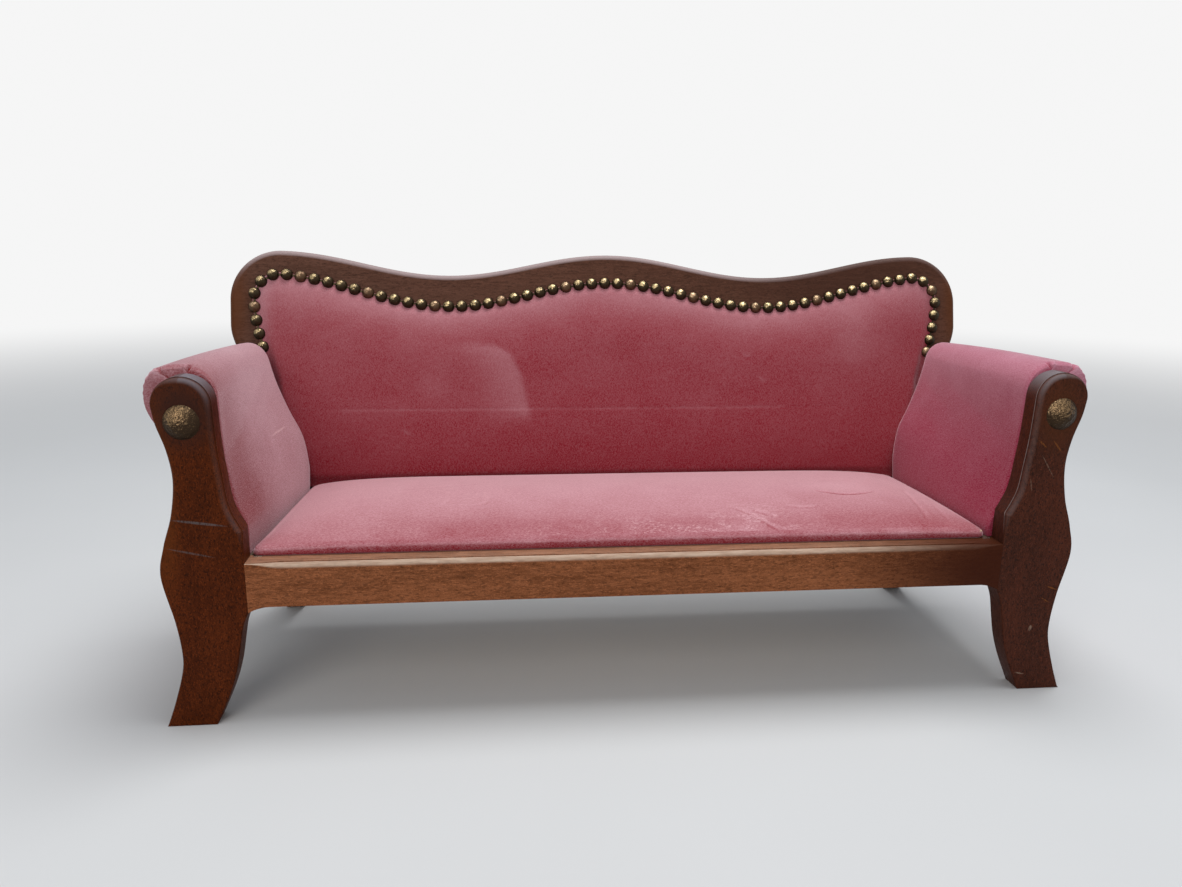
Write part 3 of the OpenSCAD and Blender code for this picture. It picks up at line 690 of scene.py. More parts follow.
@dataclass(frozen=True)
class StainedWood:
    """Beech stained to walnut, with flecks, pores and pale arrises under a thin lacquer, pale from abrasion
    and from a painted highlight.
    """

    name: str
    grain: Grain
    deep: Colour
    pale: Colour
    # Colour of the abrasion, which also serves as a painted highlight
    wear_and_highlight_colour: Colour
    # Colour of the painted highlight on faces that turn up to the light
    gleam: Colour = (0.20, 0.175, 0.185)
    figure: float = 9.0
    sparks: float = 0.5
    gloss: float = 0.38
    pitted: float = 0.8
    marks: tuple[Mark, ...] = ()

    def material(self, sizes: SofaSizes) -> Finish:
        """Makes the finish. The piece's points carry two values from 0 to 1: abrasion with some painted
        highlight, and painted highlight.

        Args:
            sizes: The sofa's sizes, for the places of the marks.

        Returns:
            A material with grain, pores, arrises pale from abrasion and a painted highlight, and its marks.
        """
        shade = Shade(self.name)
        along = shade.mapped(turn=self.grain.value, size=(self.figure, 1.0, 1.0))
        short = shade.mapped(turn=self.grain.value, size=(1.0 + 0.4 * self.figure, 1.0, 1.0))
        clouds = shade.noise(along, 38.0, 3.0, 0.55, 0.4)
        lines = shade.noise(along, 420.0, 3.0, 0.6)
        flecks = shade.noise(short, 900.0, 2.0, 0.6)
        grit = shade.noise(shade.place, 1150.0, 2.0, 0.7)
        pores = shade.spread(flecks, 0.37, 0.45)
        tone = shade.plus(shade.times(clouds, 0.35), shade.times(lines, 0.32))
        tone = shade.plus(tone, shade.times(grit, 0.33))
        colour = shade.blend(shade.spread(tone, 0.38, 0.62), self.deep, self.pale)
        lit = shade.spread(shade.noise(short, 1250.0, 2.0, 0.7), 0.54, 0.68)
        colour = shade.blend(shade.times(lit, self.sparks), colour, tuple(c * 1.6 for c in self.pale))
        pits = shade.times(shade.math("SUBTRACT", 1.0, pores), self.pitted)
        colour = shade.blend(pits, colour, tuple(c * 0.42 for c in self.deep))
        # Abrasion on the arrises, which also carries a painted highlight on the rail's moulding and up the
        # posts' inner arris
        wear_and_highlight_share = shade.times(shade.fact("wear"), shade.spread(lines, 0.3, 0.75, 0.6, 1.0))
        colour = shade.blend(wear_and_highlight_share, colour, self.wear_and_highlight_colour)
        # Painted highlight, laid on faces that turn up to the light
        colour = shade.blend(shade.fact("gleam"), colour, self.gleam)
        for mark in self.marks:
            colour = mark.over(shade, sizes, colour, flecks)
        shade.fixed(Base_Color=colour, Specular_IOR_Level=0.05)
        shade.fixed(Roughness=shade.spread(lines, 0.2, 0.8, self.gloss + 0.08, self.gloss - 0.05))
        shade.relief((pores, 0.00012, 0.5), (lines, 0.0001, 0.35))
        return shade.material


# Colours of the marks in the wood
SCRATCH = (0.11, 0.095, 0.095)
ORANGE = (0.19, 0.060, 0.015)
DENT = (0.22, 0.14, 0.10)
WARM_END = (0.108, 0.034, 0.011)

# Warm brown, with two grey scratches, a darker head, a painted highlight down its outer edge and a painted
# blue-grey highlight on its head
LEFT_POST_WOOD = StainedWood(
    "stained_beech_left_post", Grain.UPRIGHT, (0.050, 0.0085, 0.0010), (0.104, 0.0195, 0.0030),
    (0.17, 0.085, 0.050), gleam=(0.25, 0.23, 0.26), figure=2.4, sparks=0.7, marks=(
        Mark((-325, 0, 240), (34, 60, 38), 0, (0.036, 0.014, 0.010), 0.8, soft=True),
        # Painted highlight: a lighter orange band down the outer edge
        Mark((-344, 0, 175), (15, 60, 90), 0, (0.135, 0.034, 0.006), 0.55, soft=True),
        Mark((-319.7, 0, 159.9), (22, 60, 1.2), 8.0, SCRATCH, 0.75),
        Mark((-327, 0, 137.4), (19, 60, 0.9), 13.0, SCRATCH, 0.55)))

# Darker brown, with thin orange scratches, pale dents at the leg and a pale grey painted highlight up its
# inner arris
RIGHT_POST_WOOD = StainedWood(
    "stained_beech_right_post", Grain.UPRIGHT, (0.038, 0.0080, 0.0026), (0.079, 0.0172, 0.0065),
    (0.36, 0.30, 0.28), figure=2.4, sparks=0.7, marks=(
        Mark((324, 0, 232), (26, 60, 42), 0, (0.085, 0.026, 0.009), 0.6, soft=True),
        Mark((312.8, 0, 210), (5.5, 60, 0.9), 40.0, ORANGE, 0.8),
        Mark((325.2, 0, 208), (7, 60, 0.8), 50.0, ORANGE, 0.8),
        Mark((319.5, 0, 192), (13, 60, 0.6), 57.0, DENT, 0.5),
        Mark((307.7, 0, 177), (6, 60, 0.6), 78.0, DENT, 0.5),
        Mark((323.6, 0, 54.9), (1.6, 60, 3.2), 10.0, DENT),
        Mark((319.5, 0, 14.7), (5.0, 60, 0.8), 12.0, DENT),
        Mark((337.7, 0, 89.5), (6.0, 60, 0.7), 20.0, ORANGE),
        Mark((333.2, 0, 79.2), (5.0, 60, 0.6), 30.0, ORANGE)))

# Lighter than the posts, with a pale moulding from abrasion and a painted highlight, and dark at its right
# end
RAIL_WOOD = StainedWood(
    "stained_beech_rail", Grain.ACROSS, (0.145, 0.043, 0.0135), (0.320, 0.108, 0.042),
    (0.54, 0.40, 0.30), figure=6.0, sparks=0.5, pitted=0.5, marks=(
        Mark((312, 0, 108), (185, 60, 75), 0, (0.040, 0.0070, 0.0022), 0.95, soft=True),))

# Dull brown, warmer at its two ends and darker to the right, with a painted mauve-grey highlight along its
# top
BOARD_WOOD = StainedWood(
    "stained_beech_board", Grain.ACROSS, (0.072, 0.029, 0.0175), (0.122, 0.052, 0.033),
    (0.20, 0.12, 0.08), gleam=(0.37, 0.28, 0.275), sparks=0.35, pitted=0.5, marks=(
        Mark((235, 232, 330), (170, 90, 60), 0, (0.050, 0.020, 0.013), 0.55, soft=True),
        Mark((-348, 225, 300), (22, 80, 70), 0, WARM_END, 0.8, soft=True),
        Mark((350, 225, 300), (18, 80, 70), 0, WARM_END, 0.7, soft=True)))

# The boards and legs behind the front
HIDDEN_WOOD = StainedWood(
    "stained_beech_frame", Grain.DEPTH, (0.045, 0.012, 0.004), (0.085, 0.026, 0.010), (0.16, 0.09, 0.055))


@dataclass(frozen=True)
class BareWood:
    """Unstained inner wood or plywood."""

    name: str
    deep: Colour
    pale: Colour
    grain: Grain = Grain.ACROSS

    def material(self) -> Finish:
        """Makes the finish.

        Returns:
            A dull material with lines of grain.
        """
        shade = Shade(self.name)
        along = shade.mapped(turn=self.grain.value, size=(10.0, 1.0, 1.0))
        lines = shade.noise(along, 260.0, 4.0, 0.6, 0.3)
        colour = shade.blend(shade.spread(lines, 0.3, 0.7), self.deep, self.pale)
        shade.fixed(Base_Color=colour, Roughness=0.75)
        shade.relief((lines, 0.0002, 0.5))
        return shade.material


@dataclass(frozen=True)
class Velvet:
    """Cotton velvet that looks pale where its nap is brushed towards the light, with painted highlights and
    painted shade in the same values.
    """

    name: str
    deep: Colour = (0.285, 0.032, 0.044)
    light: Colour = (0.595, 0.298, 0.328)
    crushed: Colour = (0.86, 0.56, 0.58)
    sheen: float = 0.75
    grain: float = 0.085
    nap: tuple[float, float, float] = (1.0, 2.0, 2.0)
    marks: tuple[Mark, ...] = ()

    def past(self, share: float) -> Colour:
        """The colour at a share of the way from deep to light, or beyond them."""
        return tuple(max(0.0, mix(d, p, share)) for d, p in zip(self.deep, self.light))

    def material(self, sizes: SofaSizes) -> Finish:
        """Makes the finish. The piece's points carry a value from 0 deep to 1 pale, for the lay of the nap
        with painted highlights and painted shade, and crush.

        Args:
            sizes: The sofa's sizes, for the places of the marks.

        Returns:
            A material with flecks of pile, brushed clouds and sheen.
        """
        shade = Shade(self.name)
        fine = shade.noise(shade.place, 1600.0, 2.0, 0.7)
        flecks = shade.noise(shade.mapped(size=self.nap), 1250.0, 2.0, 0.7)
        brushed = shade.noise(shade.mapped(size=(1.6, 1.0, 1.0)), 46.0, 3.0, 0.55, 0.6)
        # The lay of the nap, with painted highlights and painted shade, from the points
        pile = shade.plus(shade.fact("pile"), shade.spread(brushed, 0.3, 0.7, -0.026, 0.026))
        pile = shade.spread(pile, 0.0, 1.0, 0.08, 0.86)
        pile = shade.plus(pile, shade.spread(fine, 0.25, 0.75, -self.grain, self.grain))
        pile = shade.plus(pile, shade.spread(flecks, 0.3, 0.7, -self.grain, self.grain))
        colour = shade.blend(pile, self.past(-0.10), self.past(1.18))
        worms = shade.noise(shade.mapped(turn=(0, 0, 24), size=(1.7, 1.0, 1.0)), 520.0, 4.0, 0.7, 0.3)
        heaps = shade.noise(shade.mapped(size=(1.6, 1.0, 1.0)), 75.0, 2.0, 0.5)
        crushed = shade.times(shade.fact("crush"), shade.spread(worms, 0.44, 0.70, 0.0, 0.56))
        crushed = shade.times(crushed, shade.spread(heaps, 0.42, 0.58))
        colour = shade.blend(crushed, colour, self.crushed)
        for mark in self.marks:
            colour = mark.over(shade, sizes, colour, flecks)
        shade.fixed(Base_Color=colour, Roughness=0.95, Specular_IOR_Level=0.15)
        shade.fixed(Sheen_Weight=self.sheen, Sheen_Roughness=0.42, Sheen_Tint=(1.0, 0.72, 0.77))
        shade.relief((fine, 0.00025, 0.5), (flecks, 0.0003, 0.25), (brushed, 0.0008, 0.10))
        return shade.material


# The back's velvet, the seat's, the left arm's with a pale scratch and a darker deep colour as painted shade
# beside its post, and the cooler right arm's
BACK_VELVET = Velvet("rose_velvet")
SEAT_VELVET = Velvet("rose_velvet_seat", grain=0.15, nap=(2.4, 1.0, 1.0))
LEFT_ARM_VELVET = Velvet(
    "rose_velvet_scratched", (0.215, 0.022, 0.030), (0.545, 0.310, 0.340), grain=0.15, nap=(2.2, 2.2, 1.0),
    marks=(Mark((-295.5, 142, 194.5), (34, 24, 1.0), 0.0, (0.66, 0.42, 0.42), 0.75),))
RIGHT_ARM_VELVET = Velvet(
    "rose_velvet_cool", (0.290, 0.024, 0.053), (0.585, 0.262, 0.335), grain=0.10, nap=(2.2, 2.2, 1.0))


@dataclass(frozen=True)
class AntiqueBrass:
    """Brass under a brown patina, with bare metal laid on its upper side as a painted highlight."""

    name: str
    patina: Colour = (0.036, 0.024, 0.012)
    bright: Colour = (0.62, 0.47, 0.25)
    speck: float = 760.0
    # How strongly the painted highlight lays bare metal
    rub_and_highlight: float = 0.30
    bare: tuple[float, float] = (0.66, 0.86)

    def material(self) -> Finish:
        """Makes the finish. The piece's points carry a share from 0 dull to 1 bright, which is a painted
        highlight.

        Returns:
            A material with specks of bare metal.
        """
        shade = Shade(self.name)
        specks = shade.noise(shade.place, self.speck, 3.0, 0.7, 0.8)
        # Painted highlight: bare metal on the side of each dome that faces up and forward
        share = shade.plus(specks, shade.times(shade.fact("polish"), self.rub_and_highlight))
        colour = shade.blend(shade.spread(share, *self.bare), self.patina, self.bright)
        shade.fixed(Base_Color=colour, Metallic=0.9)
        shade.fixed(Roughness=shade.spread(specks, 0.3, 0.7, 0.5, 0.3))
        shade.relief((specks, 0.00025, 0.6))
        return shade.material


# Stamped heads and links, the browner real nails, and the large nails on the posts
STRIP_BRASS = AntiqueBrass("strip_brass")
NAIL_BRASS = AntiqueBrass("nail_brass", (0.090, 0.052, 0.029), (0.44, 0.30, 0.18))
BOSS_BRASS = AntiqueBrass("boss_brass", (0.040, 0.023, 0.012), (0.35, 0.225, 0.115), speck=1300.0,
                          rub_and_highlight=0.17, bare=(0.58, 0.82))


@dataclass(frozen=True)
class Steel:
    """Zinc plated steel of screws and staples."""

    name: str = "plated_steel"

    def material(self) -> Finish:
        """Makes the finish.

        Returns:
            A metal with faint spots.
        """
        shade = Shade(self.name)
        spots = shade.noise(shade.place, 900.0, 3.0)
        shade.fixed(Base_Color=shade.blend(spots, (0.38, 0.37, 0.35), (0.62, 0.61, 0.59)), Metallic=1.0)
        shade.fixed(Roughness=shade.spread(spots, 0.3, 0.7, 0.45, 0.25))
        return shade.material


def moulded_board(outline: Array, edge: Array, rear: float, thickness: float,
                  step: float = 0.0) -> list[Array]:
    """Rings of a board whose front edge is rounded over.

    Args:
        outline: Its outline, anticlockwise from the front.
        edge: The round-over's size at each point.
        rear: The rear arris's size.
        thickness: The board's thickness.
        step: The share of the round-over that is a small step.

    Returns:
        The rings' points, from front to rear.
    """
    fore, aft = (math.pi / 2 * np.arange(steps + 1) / steps for steps in (ROUND_STEPS, 3))
    cuts = [(edge * (step + (1 - step) * (1 - math.sin(a))), edge * (1 - math.cos(a))) for a in fore]
    if step > 0:
        cuts += [(0.0, edge), (0.0, edge + 0.6)]
    cuts += [(rear * (1 - math.cos(a)), thickness - rear * (1 - math.sin(a))) for a in aft]
    into = inward(outline)
    return [np.insert(outline + into * np.reshape(inset, (-1, 1)), 1, depth, axis=1) for inset, depth in cuts]


@dataclass
class FrontPost:
    """The front of an arm and its sabre leg, in one board with a moulded inner edge."""

    sizes: SofaSizes
    side: Side
    finish: Finish
    foot_flare: float = 6.0
    sole_w: float = 36.0
    ankle_in: float = 9.5
    waist_in: float = 14.5
    arris: float = 0.5
    leg_round: float = 1.3
    # Strength of the painted highlight up the inner arris
    rub_and_highlight: float = 0.30

    def outline(self) -> Array:
        """The right post's outline, anticlockwise from the front.

        Returns:
            Rows of x and z.
        """
        s = self.sizes
        head_z, half, joint = s.post_h - s.head_r, s.half_w, s.joint_x
        ankle, waist = ((0.1, 0.20), (0.86, 0.46), (1, 0.63), (0.72, 0.89)), (
            (0.27, 0.10), (0.76, 0.27), (1, 0.46), (0.84, 0.62))
        outer = smooth_curve([
            (half + self.foot_flare, 0), *((half - k * self.ankle_in, s.leg_h * z) for k, z in ankle),
            (half, s.seat_h - 9), *((half - k * self.waist_in, s.in_arm(z)) for k, z in waist),
            (s.arm_x + s.head_r - 2, head_z - 13), (s.arm_x + s.head_r, head_z)], 9)
        head = arc((s.arm_x, head_z), s.head_r, s.head_r, 4, 180, 44)
        inner = smooth_curve([
            (s.arm_x - s.head_r, head_z), (s.arm_x - s.head_r - 1, s.in_arm(0.64)),
            (s.arm_x - s.head_r - 3, s.in_arm(0.48)), (joint + 8, s.in_arm(0.31)),
            (joint, s.seat_h + s.block_rise)], 11)[1:]
        block = [(joint, z) for z in np.linspace(s.seat_h + s.block_rise, s.leg_h, 22)[1:]]
        leg = smooth_curve([
            (joint, s.leg_h - s.rail_drop), (joint + 4.7, s.leg_h * 0.83),
            (joint + 7.7, s.leg_h * 0.67), (joint + 11.5, s.leg_h * 0.47),
            (joint + 18, s.leg_h * 0.26), (half + self.foot_flare - self.sole_w, 0)], 9)
        return np.vstack([outer, head, inner, block, leg])

    def round_over(self, outline: Array) -> Array:
        """The size of the round-over: it grows over the head and dies at the rail.

        Args:
            outline: The post's outline.

        Returns:
            A size for each of its points.
        """
        s = self.sizes
        x, z = outline.T
        over_head = mix(self.leg_round, s.moulding, 1 - ease((x - s.arm_x) / s.head_r))
        at_block = mix(self.arris, 0.78 * s.moulding, ease((z - s.seat_h) / s.block_rise))
        size = np.where(z > s.leg_h, np.where(x > s.arm_x - 6, over_head, s.moulding), self.leg_round)
        low, high = s.leg_h - s.rail_drop - 0.01, s.seat_h + s.block_rise + 0.01
        inner = (x < s.joint_x + 0.01) & (z < high) & (z > low)
        size = np.where(inner, np.where(z > s.seat_h, at_block, self.arris), size)
        size = np.where(z < 1, self.arris, size)
        return np.convolve(np.pad(size, 1, mode="wrap"), [0.2, 0.6, 0.2], mode="valid")

    def wear(self, outline: Array, edge: Array, ring: int) -> tuple[Array, Array]:
        """How far the lacquer is pale from abrasion along one ring, with a painted highlight up the inner
        arris, and how far it carries a painted highlight where it faces up.

        Args:
            outline: The post's outline.
            edge: The round-over's size at each point.
            ring: The ring's number, from the front.

        Returns:
            Two rows of values from 0 to 1.
        """
        s = self.sizes
        moulded = np.clip((edge - self.leg_round) / (s.moulding - self.leg_round), 0, 1)
        upward = np.pad(np.clip(-inward(outline)[:, 1], 0, 1), 4, mode="wrap")
        upward = np.convolve(upward, np.full(9, 1 / 9), "valid")
        inner = outline[:, 0] < s.arm_x
        head = ease(((outline[:, 1] - s.seat_h) / s.arm_h - 0.62) / 0.25)
        turn = math.sin(math.pi * min(1.0, ring / ROUND_STEPS))
        # Painted highlight: a thin pale line up the inner arris
        ridge = self.rub_and_highlight * np.where(inner, moulded, 0.0) * (ring == ROUND_STEPS + 1)
        # Painted highlight on the round-over and sides where they face up, strongest at the head and weaker
        # on the outer side
        over = upward**0.7 * moulded * turn**1.5 * mix(0.20, 0.75, head)
        aside = upward**1.4 * moulded**0.5 * mix(0.12, 1.0, head) * (ring > ROUND_STEPS)
        return 0.03 + 0.10 * moulded * turn + ridge, (over + aside) * np.where(inner, 1.0, 0.45)

    def build(self) -> None:
        """Builds and dresses the post."""
        s = self.sizes
        outline = self.outline()
        edge = self.round_over(outline)
        rings = moulded_board(outline, edge, 0.6, s.board_t, MOULDING_STEP)
        wear, gleam = zip(*(self.wear(outline, edge, k) for k in range(len(rings))))
        solid = Solid().loft([ring * [self.side.value, 1.0, 1.0] for ring in rings], wear=wear, gleam=gleam)
        name = f"{self.side.name.lower()}_front_post"
        settle(solid.piece(f"{name}_moulded", s, self.finish, 28.0), "stained_wood", name)


@dataclass
class FrontRail:
    """The rail between the posts, moulded along its top and stopped short of them."""

    sizes: SofaSizes
    finish: Finish
    stop: float = 26.0
    blend: float = 16.0
    arris: float = 0.4

    def section(self, x: float) -> tuple[Array, Array]:
        """The rail's section.

        Args:
            x: Where along the rail.

        Returns:
            Its points and how far each is rubbed pale.
        """
        s = self.sizes
        d = s.joint_x - abs(x)
        m = mix(self.arris, s.moulding, ease(min(1.0, d / self.stop)))
        low = s.leg_h - s.rail_drop * (1 - min(1.0, d / self.blend)) ** 2
        a = np.radians(np.linspace(0, 90, 10))
        drop = m * (MOULDING_STEP + (1 - MOULDING_STEP) * (1 - np.sin(a)))
        curve = np.stack([m * (1 - np.cos(a)), s.seat_h - drop], 1)
        low_round = arc((self.arris, low + self.arris), self.arris, self.arris, 270, 180, 3)
        rear = [(s.board_t, s.seat_h), (s.board_t, low)]
        outline = np.vstack([low_round, curve, [(m, s.seat_h)], rear])
        # The moulding is pale from abrasion and from a painted highlight where it faces up, fading towards
        # the right end
        bright = 1 - 0.5 * ease((x - 150) / 140)
        ovolo = (0.02 + 0.98 * ease(a / math.radians(32))) * bright
        ovolo[-1] = 0.0
        wear = np.concatenate([np.full(4, 0.02), ovolo, [0.30 * bright, 0.22 * bright, 0.1]])
        return np.insert(outline, 0, x, axis=1), wear

    def build(self) -> None:
        """Builds and dresses the rail."""
        s = self.sizes
        half = s.joint_x - np.concatenate([np.linspace(0, self.stop, 27), [50, 90, 140, 190, 240]])
        stations = np.unique(np.concatenate([-half, [0.0], half]))
        points, wear = zip(*(self.section(float(x)) for x in stations))
        solid = Solid().loft(points, wear=wear)
        settle(solid.piece("front_rail_moulded", s, self.finish, 28.0), "stained_wood", "front_rail")


@dataclass
class Crest:
    """The serpentine line of the back board and of the nail strip below it."""

    sizes: SofaSizes
    height: float = 211.0
    wave: float = 10.3
    rise: float = 1.5
    border_mid: float = 28.0
    border_dip: float = 2.5
    border_end: float = 22.5
    strip_clear: float = 11.7
    strip_in: float = 10.0

    @property
    def hump_x(self) -> float:
        """Distance of the outer humps from the middle."""
        return self.sizes.half_w - self.sizes.corner_r

    def top(self, x: Values) -> Values:
        """Height of the crest above the seat, along the board."""
        share = np.abs(x) / self.hump_x
        return self.height + self.wave * np.cos(2 * np.pi * x / self.hump_x) + self.rise * share**4

    def strip(self, x: Values) -> Values:
        """Height of the nail strip above the seat, along the board."""
        dip = self.border_mid + self.border_dip * (1 - np.cos(2 * np.pi * x / self.hump_x)) / 2
        return self.top(x) - mix(dip, self.border_end, (np.abs(x) / self.hump_x) ** 5)

    @property
    def strip_side(self) -> float:
        """Distance of the strip's sides from the middle."""
        return self.sizes.half_w - self.border_end

    @property
    def strip_corner(self) -> tuple[float, float]:
        """Centre of the strip's upper corner."""
        return self.hump_x, float(self.strip(self.hump_x)) - (self.strip_side - self.hump_x)

    @property
    def side_top_v(self) -> float:
        """Height of the side boards' tops, along the back."""
        s = self.sizes
        return (s.post_h - s.head_r - 7 - s.seat_h) / math.cos(s.lean)

    def strip_half(self) -> Array:
        """The strip's path from the middle to its right end.

        Returns:
            Rows of places across and up the back.
        """
        x = np.linspace(0, self.hump_x, 153)
        centre, radius = self.strip_corner, self.strip_side - self.hump_x
        corner = arc(centre, radius, radius, 90, 0, 36)[1:]
        t = np.linspace(0, 1, 33)[1:]
        end = self.side_top_v + self.strip_clear
        side = np.stack([self.strip_side - self.strip_in * t**1.6, mix(centre[1], end, t)], 1)
        return np.vstack([np.stack([x, self.strip(x)], 1), corner, side])


@dataclass
class BackBoard:
    """One serpentine board with a rounded front edge and drawn-in neck."""

    sizes: SofaSizes
    crest: Crest
    finish: Finish
    front_round: float = 5.5
    rear_round: float = 1.5
    neck_drop: float = 22.0
    neck_l: float = 55.0
    low: float = -35.0

    def build(self) -> None:
        """Builds and dresses the board."""
        s, c = self.sizes, self.crest
        corner_v = float(c.top(c.hump_x)) - s.corner_r
        neck_top = corner_v - self.neck_drop
        neck_low = neck_top - self.neck_l
        t = np.linspace(0, 1, 25)
        neck = np.stack([mix(s.side_out, s.half_w, ease(t)), mix(neck_low, neck_top, t)], 1)
        low = np.stack([np.full(8, s.side_out), np.linspace(self.low, neck_low, 9)[:-1]], 1)
        corner = arc((c.hump_x, corner_v), s.corner_r, s.corner_r, 0, 90, 32)
        x = np.linspace(c.hump_x, 0, 121)[1:]
        half = np.vstack([low, neck, corner, np.stack([x, c.top(x)], 1)])
        outline = np.vstack([half, half[-2::-1] * [-1.0, 1.0]])
        edge = mix(0.5, self.front_round, ease((outline[:, 1] - neck_low) / 30))
        rings = moulded_board(outline, edge, self.rear_round, s.board_t)
        # Painted highlight: a pale band along the crest's round-over where it faces up, fading to the right
        upward = np.clip(-inward(outline)[:, 1], 0, 1) * (1 - 0.7 * ease((outline[:, 0] - 60) / 220))
        turns = [math.sin(math.pi * min(1.0, k / ROUND_STEPS)) for k in range(len(rings))]
        solid = Solid().loft([s.on_back(ring) for ring in rings], wear=[0.03] * len(rings),
                             gleam=[0.95 * upward * turn**0.6 for turn in turns])
        settle(solid.piece("back_board_shaped", s, self.finish, 40.0), "stained_wood", "back_board")


@dataclass
class RearLeg:
    """A sabre leg swept back, fixed inside a side board."""

    sizes: SofaSizes
    side: Side
    finish: Finish
    kick: float = 30.0
    width: float = 46.0
    sole: float = 30.0
    arris: float = 1.0

    def build(self) -> None:
        """Builds and dresses the leg."""
        s = self.sizes
        toe = s.seat_depth + self.kick
        front = s.back_y(s.leg_h) - self.width + 10
        shoulder = (s.back_y(s.leg_h) + s.board_t * math.cos(s.lean), s.leg_h - s.board_t * math.sin(s.lean))
        t = np.linspace(0, 1, 33)
        fore = np.stack([mix(front, toe, t**1.7), s.leg_h * (1 - t)], 1)
        aft = np.stack([mix(shoulder[0], toe + self.sole, t**1.5), shoulder[1] * (1 - t)], 1)[::-1]
        top = [(s.back_y(s.leg_h), s.leg_h), (s.back_y(s.seat_h), s.seat_h), (front, s.seat_h)]
        outline = np.vstack([fore, aft, top])
        near = ((0, 1.0), (0.3, 0.3), (1.0, 0))
        rings = []
        for depth, inset in (*near, *((s.board_t - depth, inset) for depth, inset in near[::-1])):
            x = self.side.value * (s.side_in - s.board_t + depth)
            rings.append(np.insert(outline + inward(outline) * inset * self.arris, 0, x, axis=1))
        name = f"{self.side.name.lower()}_rear_leg"
        solid = Solid().loft(rings, wear=[0.4] + [0.2] * 4 + [0.4])
        settle(solid.piece(f"{name}_shaped", s, self.finish, 40.0), "stained_wood", name)


@dataclass(frozen=True)
class Crease:
    """A line pressed into a cover: its path, its depth and half width, and the strengths of the painted
    highlight beside it and the painted shade in it.
    """

    path: tuple[tuple[float, float], ...]
    depth: float = 0.5
    width: float = 2.0
    lip_highlight: float = 0.12
    foot_shade: float = 0.12

    def at(self, points: Array) -> tuple[Array, Array]:
        """What the crease does at places on the cover.

        Args:
            points: The places, in plan.

        Returns:
            How deep it cuts there, and how much paler it looks: a painted highlight beside it less a painted
            shade in it.
        """
        off, share = off_path(points, smooth_curve(list(self.path), 14))
        ends = np.sqrt(np.sin(np.pi * share))
        # Painted highlight beside the crease, and painted shade in it
        pale = self.lip_highlight * line_at(off, 1.3 * self.width, self.width)
        dark = self.foot_shade * line_at(off, 0, 0.7 * self.width)
        return self.depth * line_at(off, 0, self.width) * ends, (pale - dark) * ends


def points_of(piece: Piece) -> Array:
    """A piece's points, in metres."""
    return np.array([vertex.co for vertex in piece.data.vertices])


@dataclass
class Puff:
    """How a padded cover is blown up by the cloth simulation before it is dressed."""

    pressure: float = 4.0
    frames: int = 14
    cap: float = 2.2
    steps: int = 4

    def swell(self, piece: Piece, free: Array) -> Array:
        """Lets the free part of a closed cushion swell under pressure, within a cap.

        Args:
            piece: The cushion, in metres.
            free: For each point, 0 where it is held and 1 where it may move.

        Returns:
            How far each point moved, in millimetres.
        """
        rest = points_of(piece)
        held = piece.vertex_groups.new(name="held")
        for i in np.flatnonzero(free < 0.999):
            held.add([int(i)], float(1 - free[i]), "REPLACE")
        cloth = piece.modifiers.new("puff", "CLOTH")
        rules = cloth.settings
        rules.use_pressure = True
        rules.uniform_pressure_force = self.pressure
        rules.vertex_group_mass = "held"
        rules.pin_stiffness = 1.0
        rules.quality = self.steps
        rules.tension_stiffness = 30
        rules.compression_stiffness = 30
        rules.bending_stiffness = 2.0
        rules.effector_weights.gravity = 0.0
        cloth.collision_settings.use_collision = False
        cloth.collision_settings.use_self_collision = False
        cloth.point_cache.frame_start = 1
        cloth.point_cache.frame_end = self.frames
        scene = bpy.context.scene
        for frame in range(1, self.frames + 1):
            scene.frame_set(frame)
        graph = bpy.context.evaluated_depsgraph_get()
        blown = points_of(piece.evaluated_get(graph))
        piece.modifiers.remove(cloth)
        piece.vertex_groups.remove(held)
        scene.frame_set(1)
        moved = (blown - rest) / MM * free[:, None]
        far = np.linalg.norm(moved, axis=1, keepdims=True)
        moved *= self.cap * np.tanh(far / self.cap) / np.maximum(far, 1e-6)
        LOG.info("%s: swelled by up to %.1f mm", piece.name, float(np.linalg.norm(moved, axis=1).max()))
        return moved


@dataclass
class Cushion:
    """A padded cover, whose fine mesh is made from the swell of a coarse one."""

    sizes: SofaSizes

    def build(self, velvet: Finish) -> None:
        """Builds, swells and dresses the cushion.

        Args:
            velvet: The cover's finish.
        """
        rows, columns = self.coarse
        solid, free = self.shell(rows, columns)
        soft = solid.piece(f"{self.name}_soft", self.sizes, velvet, self.crease)
        moved = Puff(cap=self.cap).swell(soft, free)[: rows * columns].reshape(rows, columns, 3)
        bpy.data.objects.remove(soft)
        fine, _ = self.shell(*self.fine, moved)
        piece = fine.piece(f"{self.name}_cushion", self.sizes, velvet, self.crease)
        settle(piece, "velvet", f"{self.name}_cover", f"{self.name}_padding")


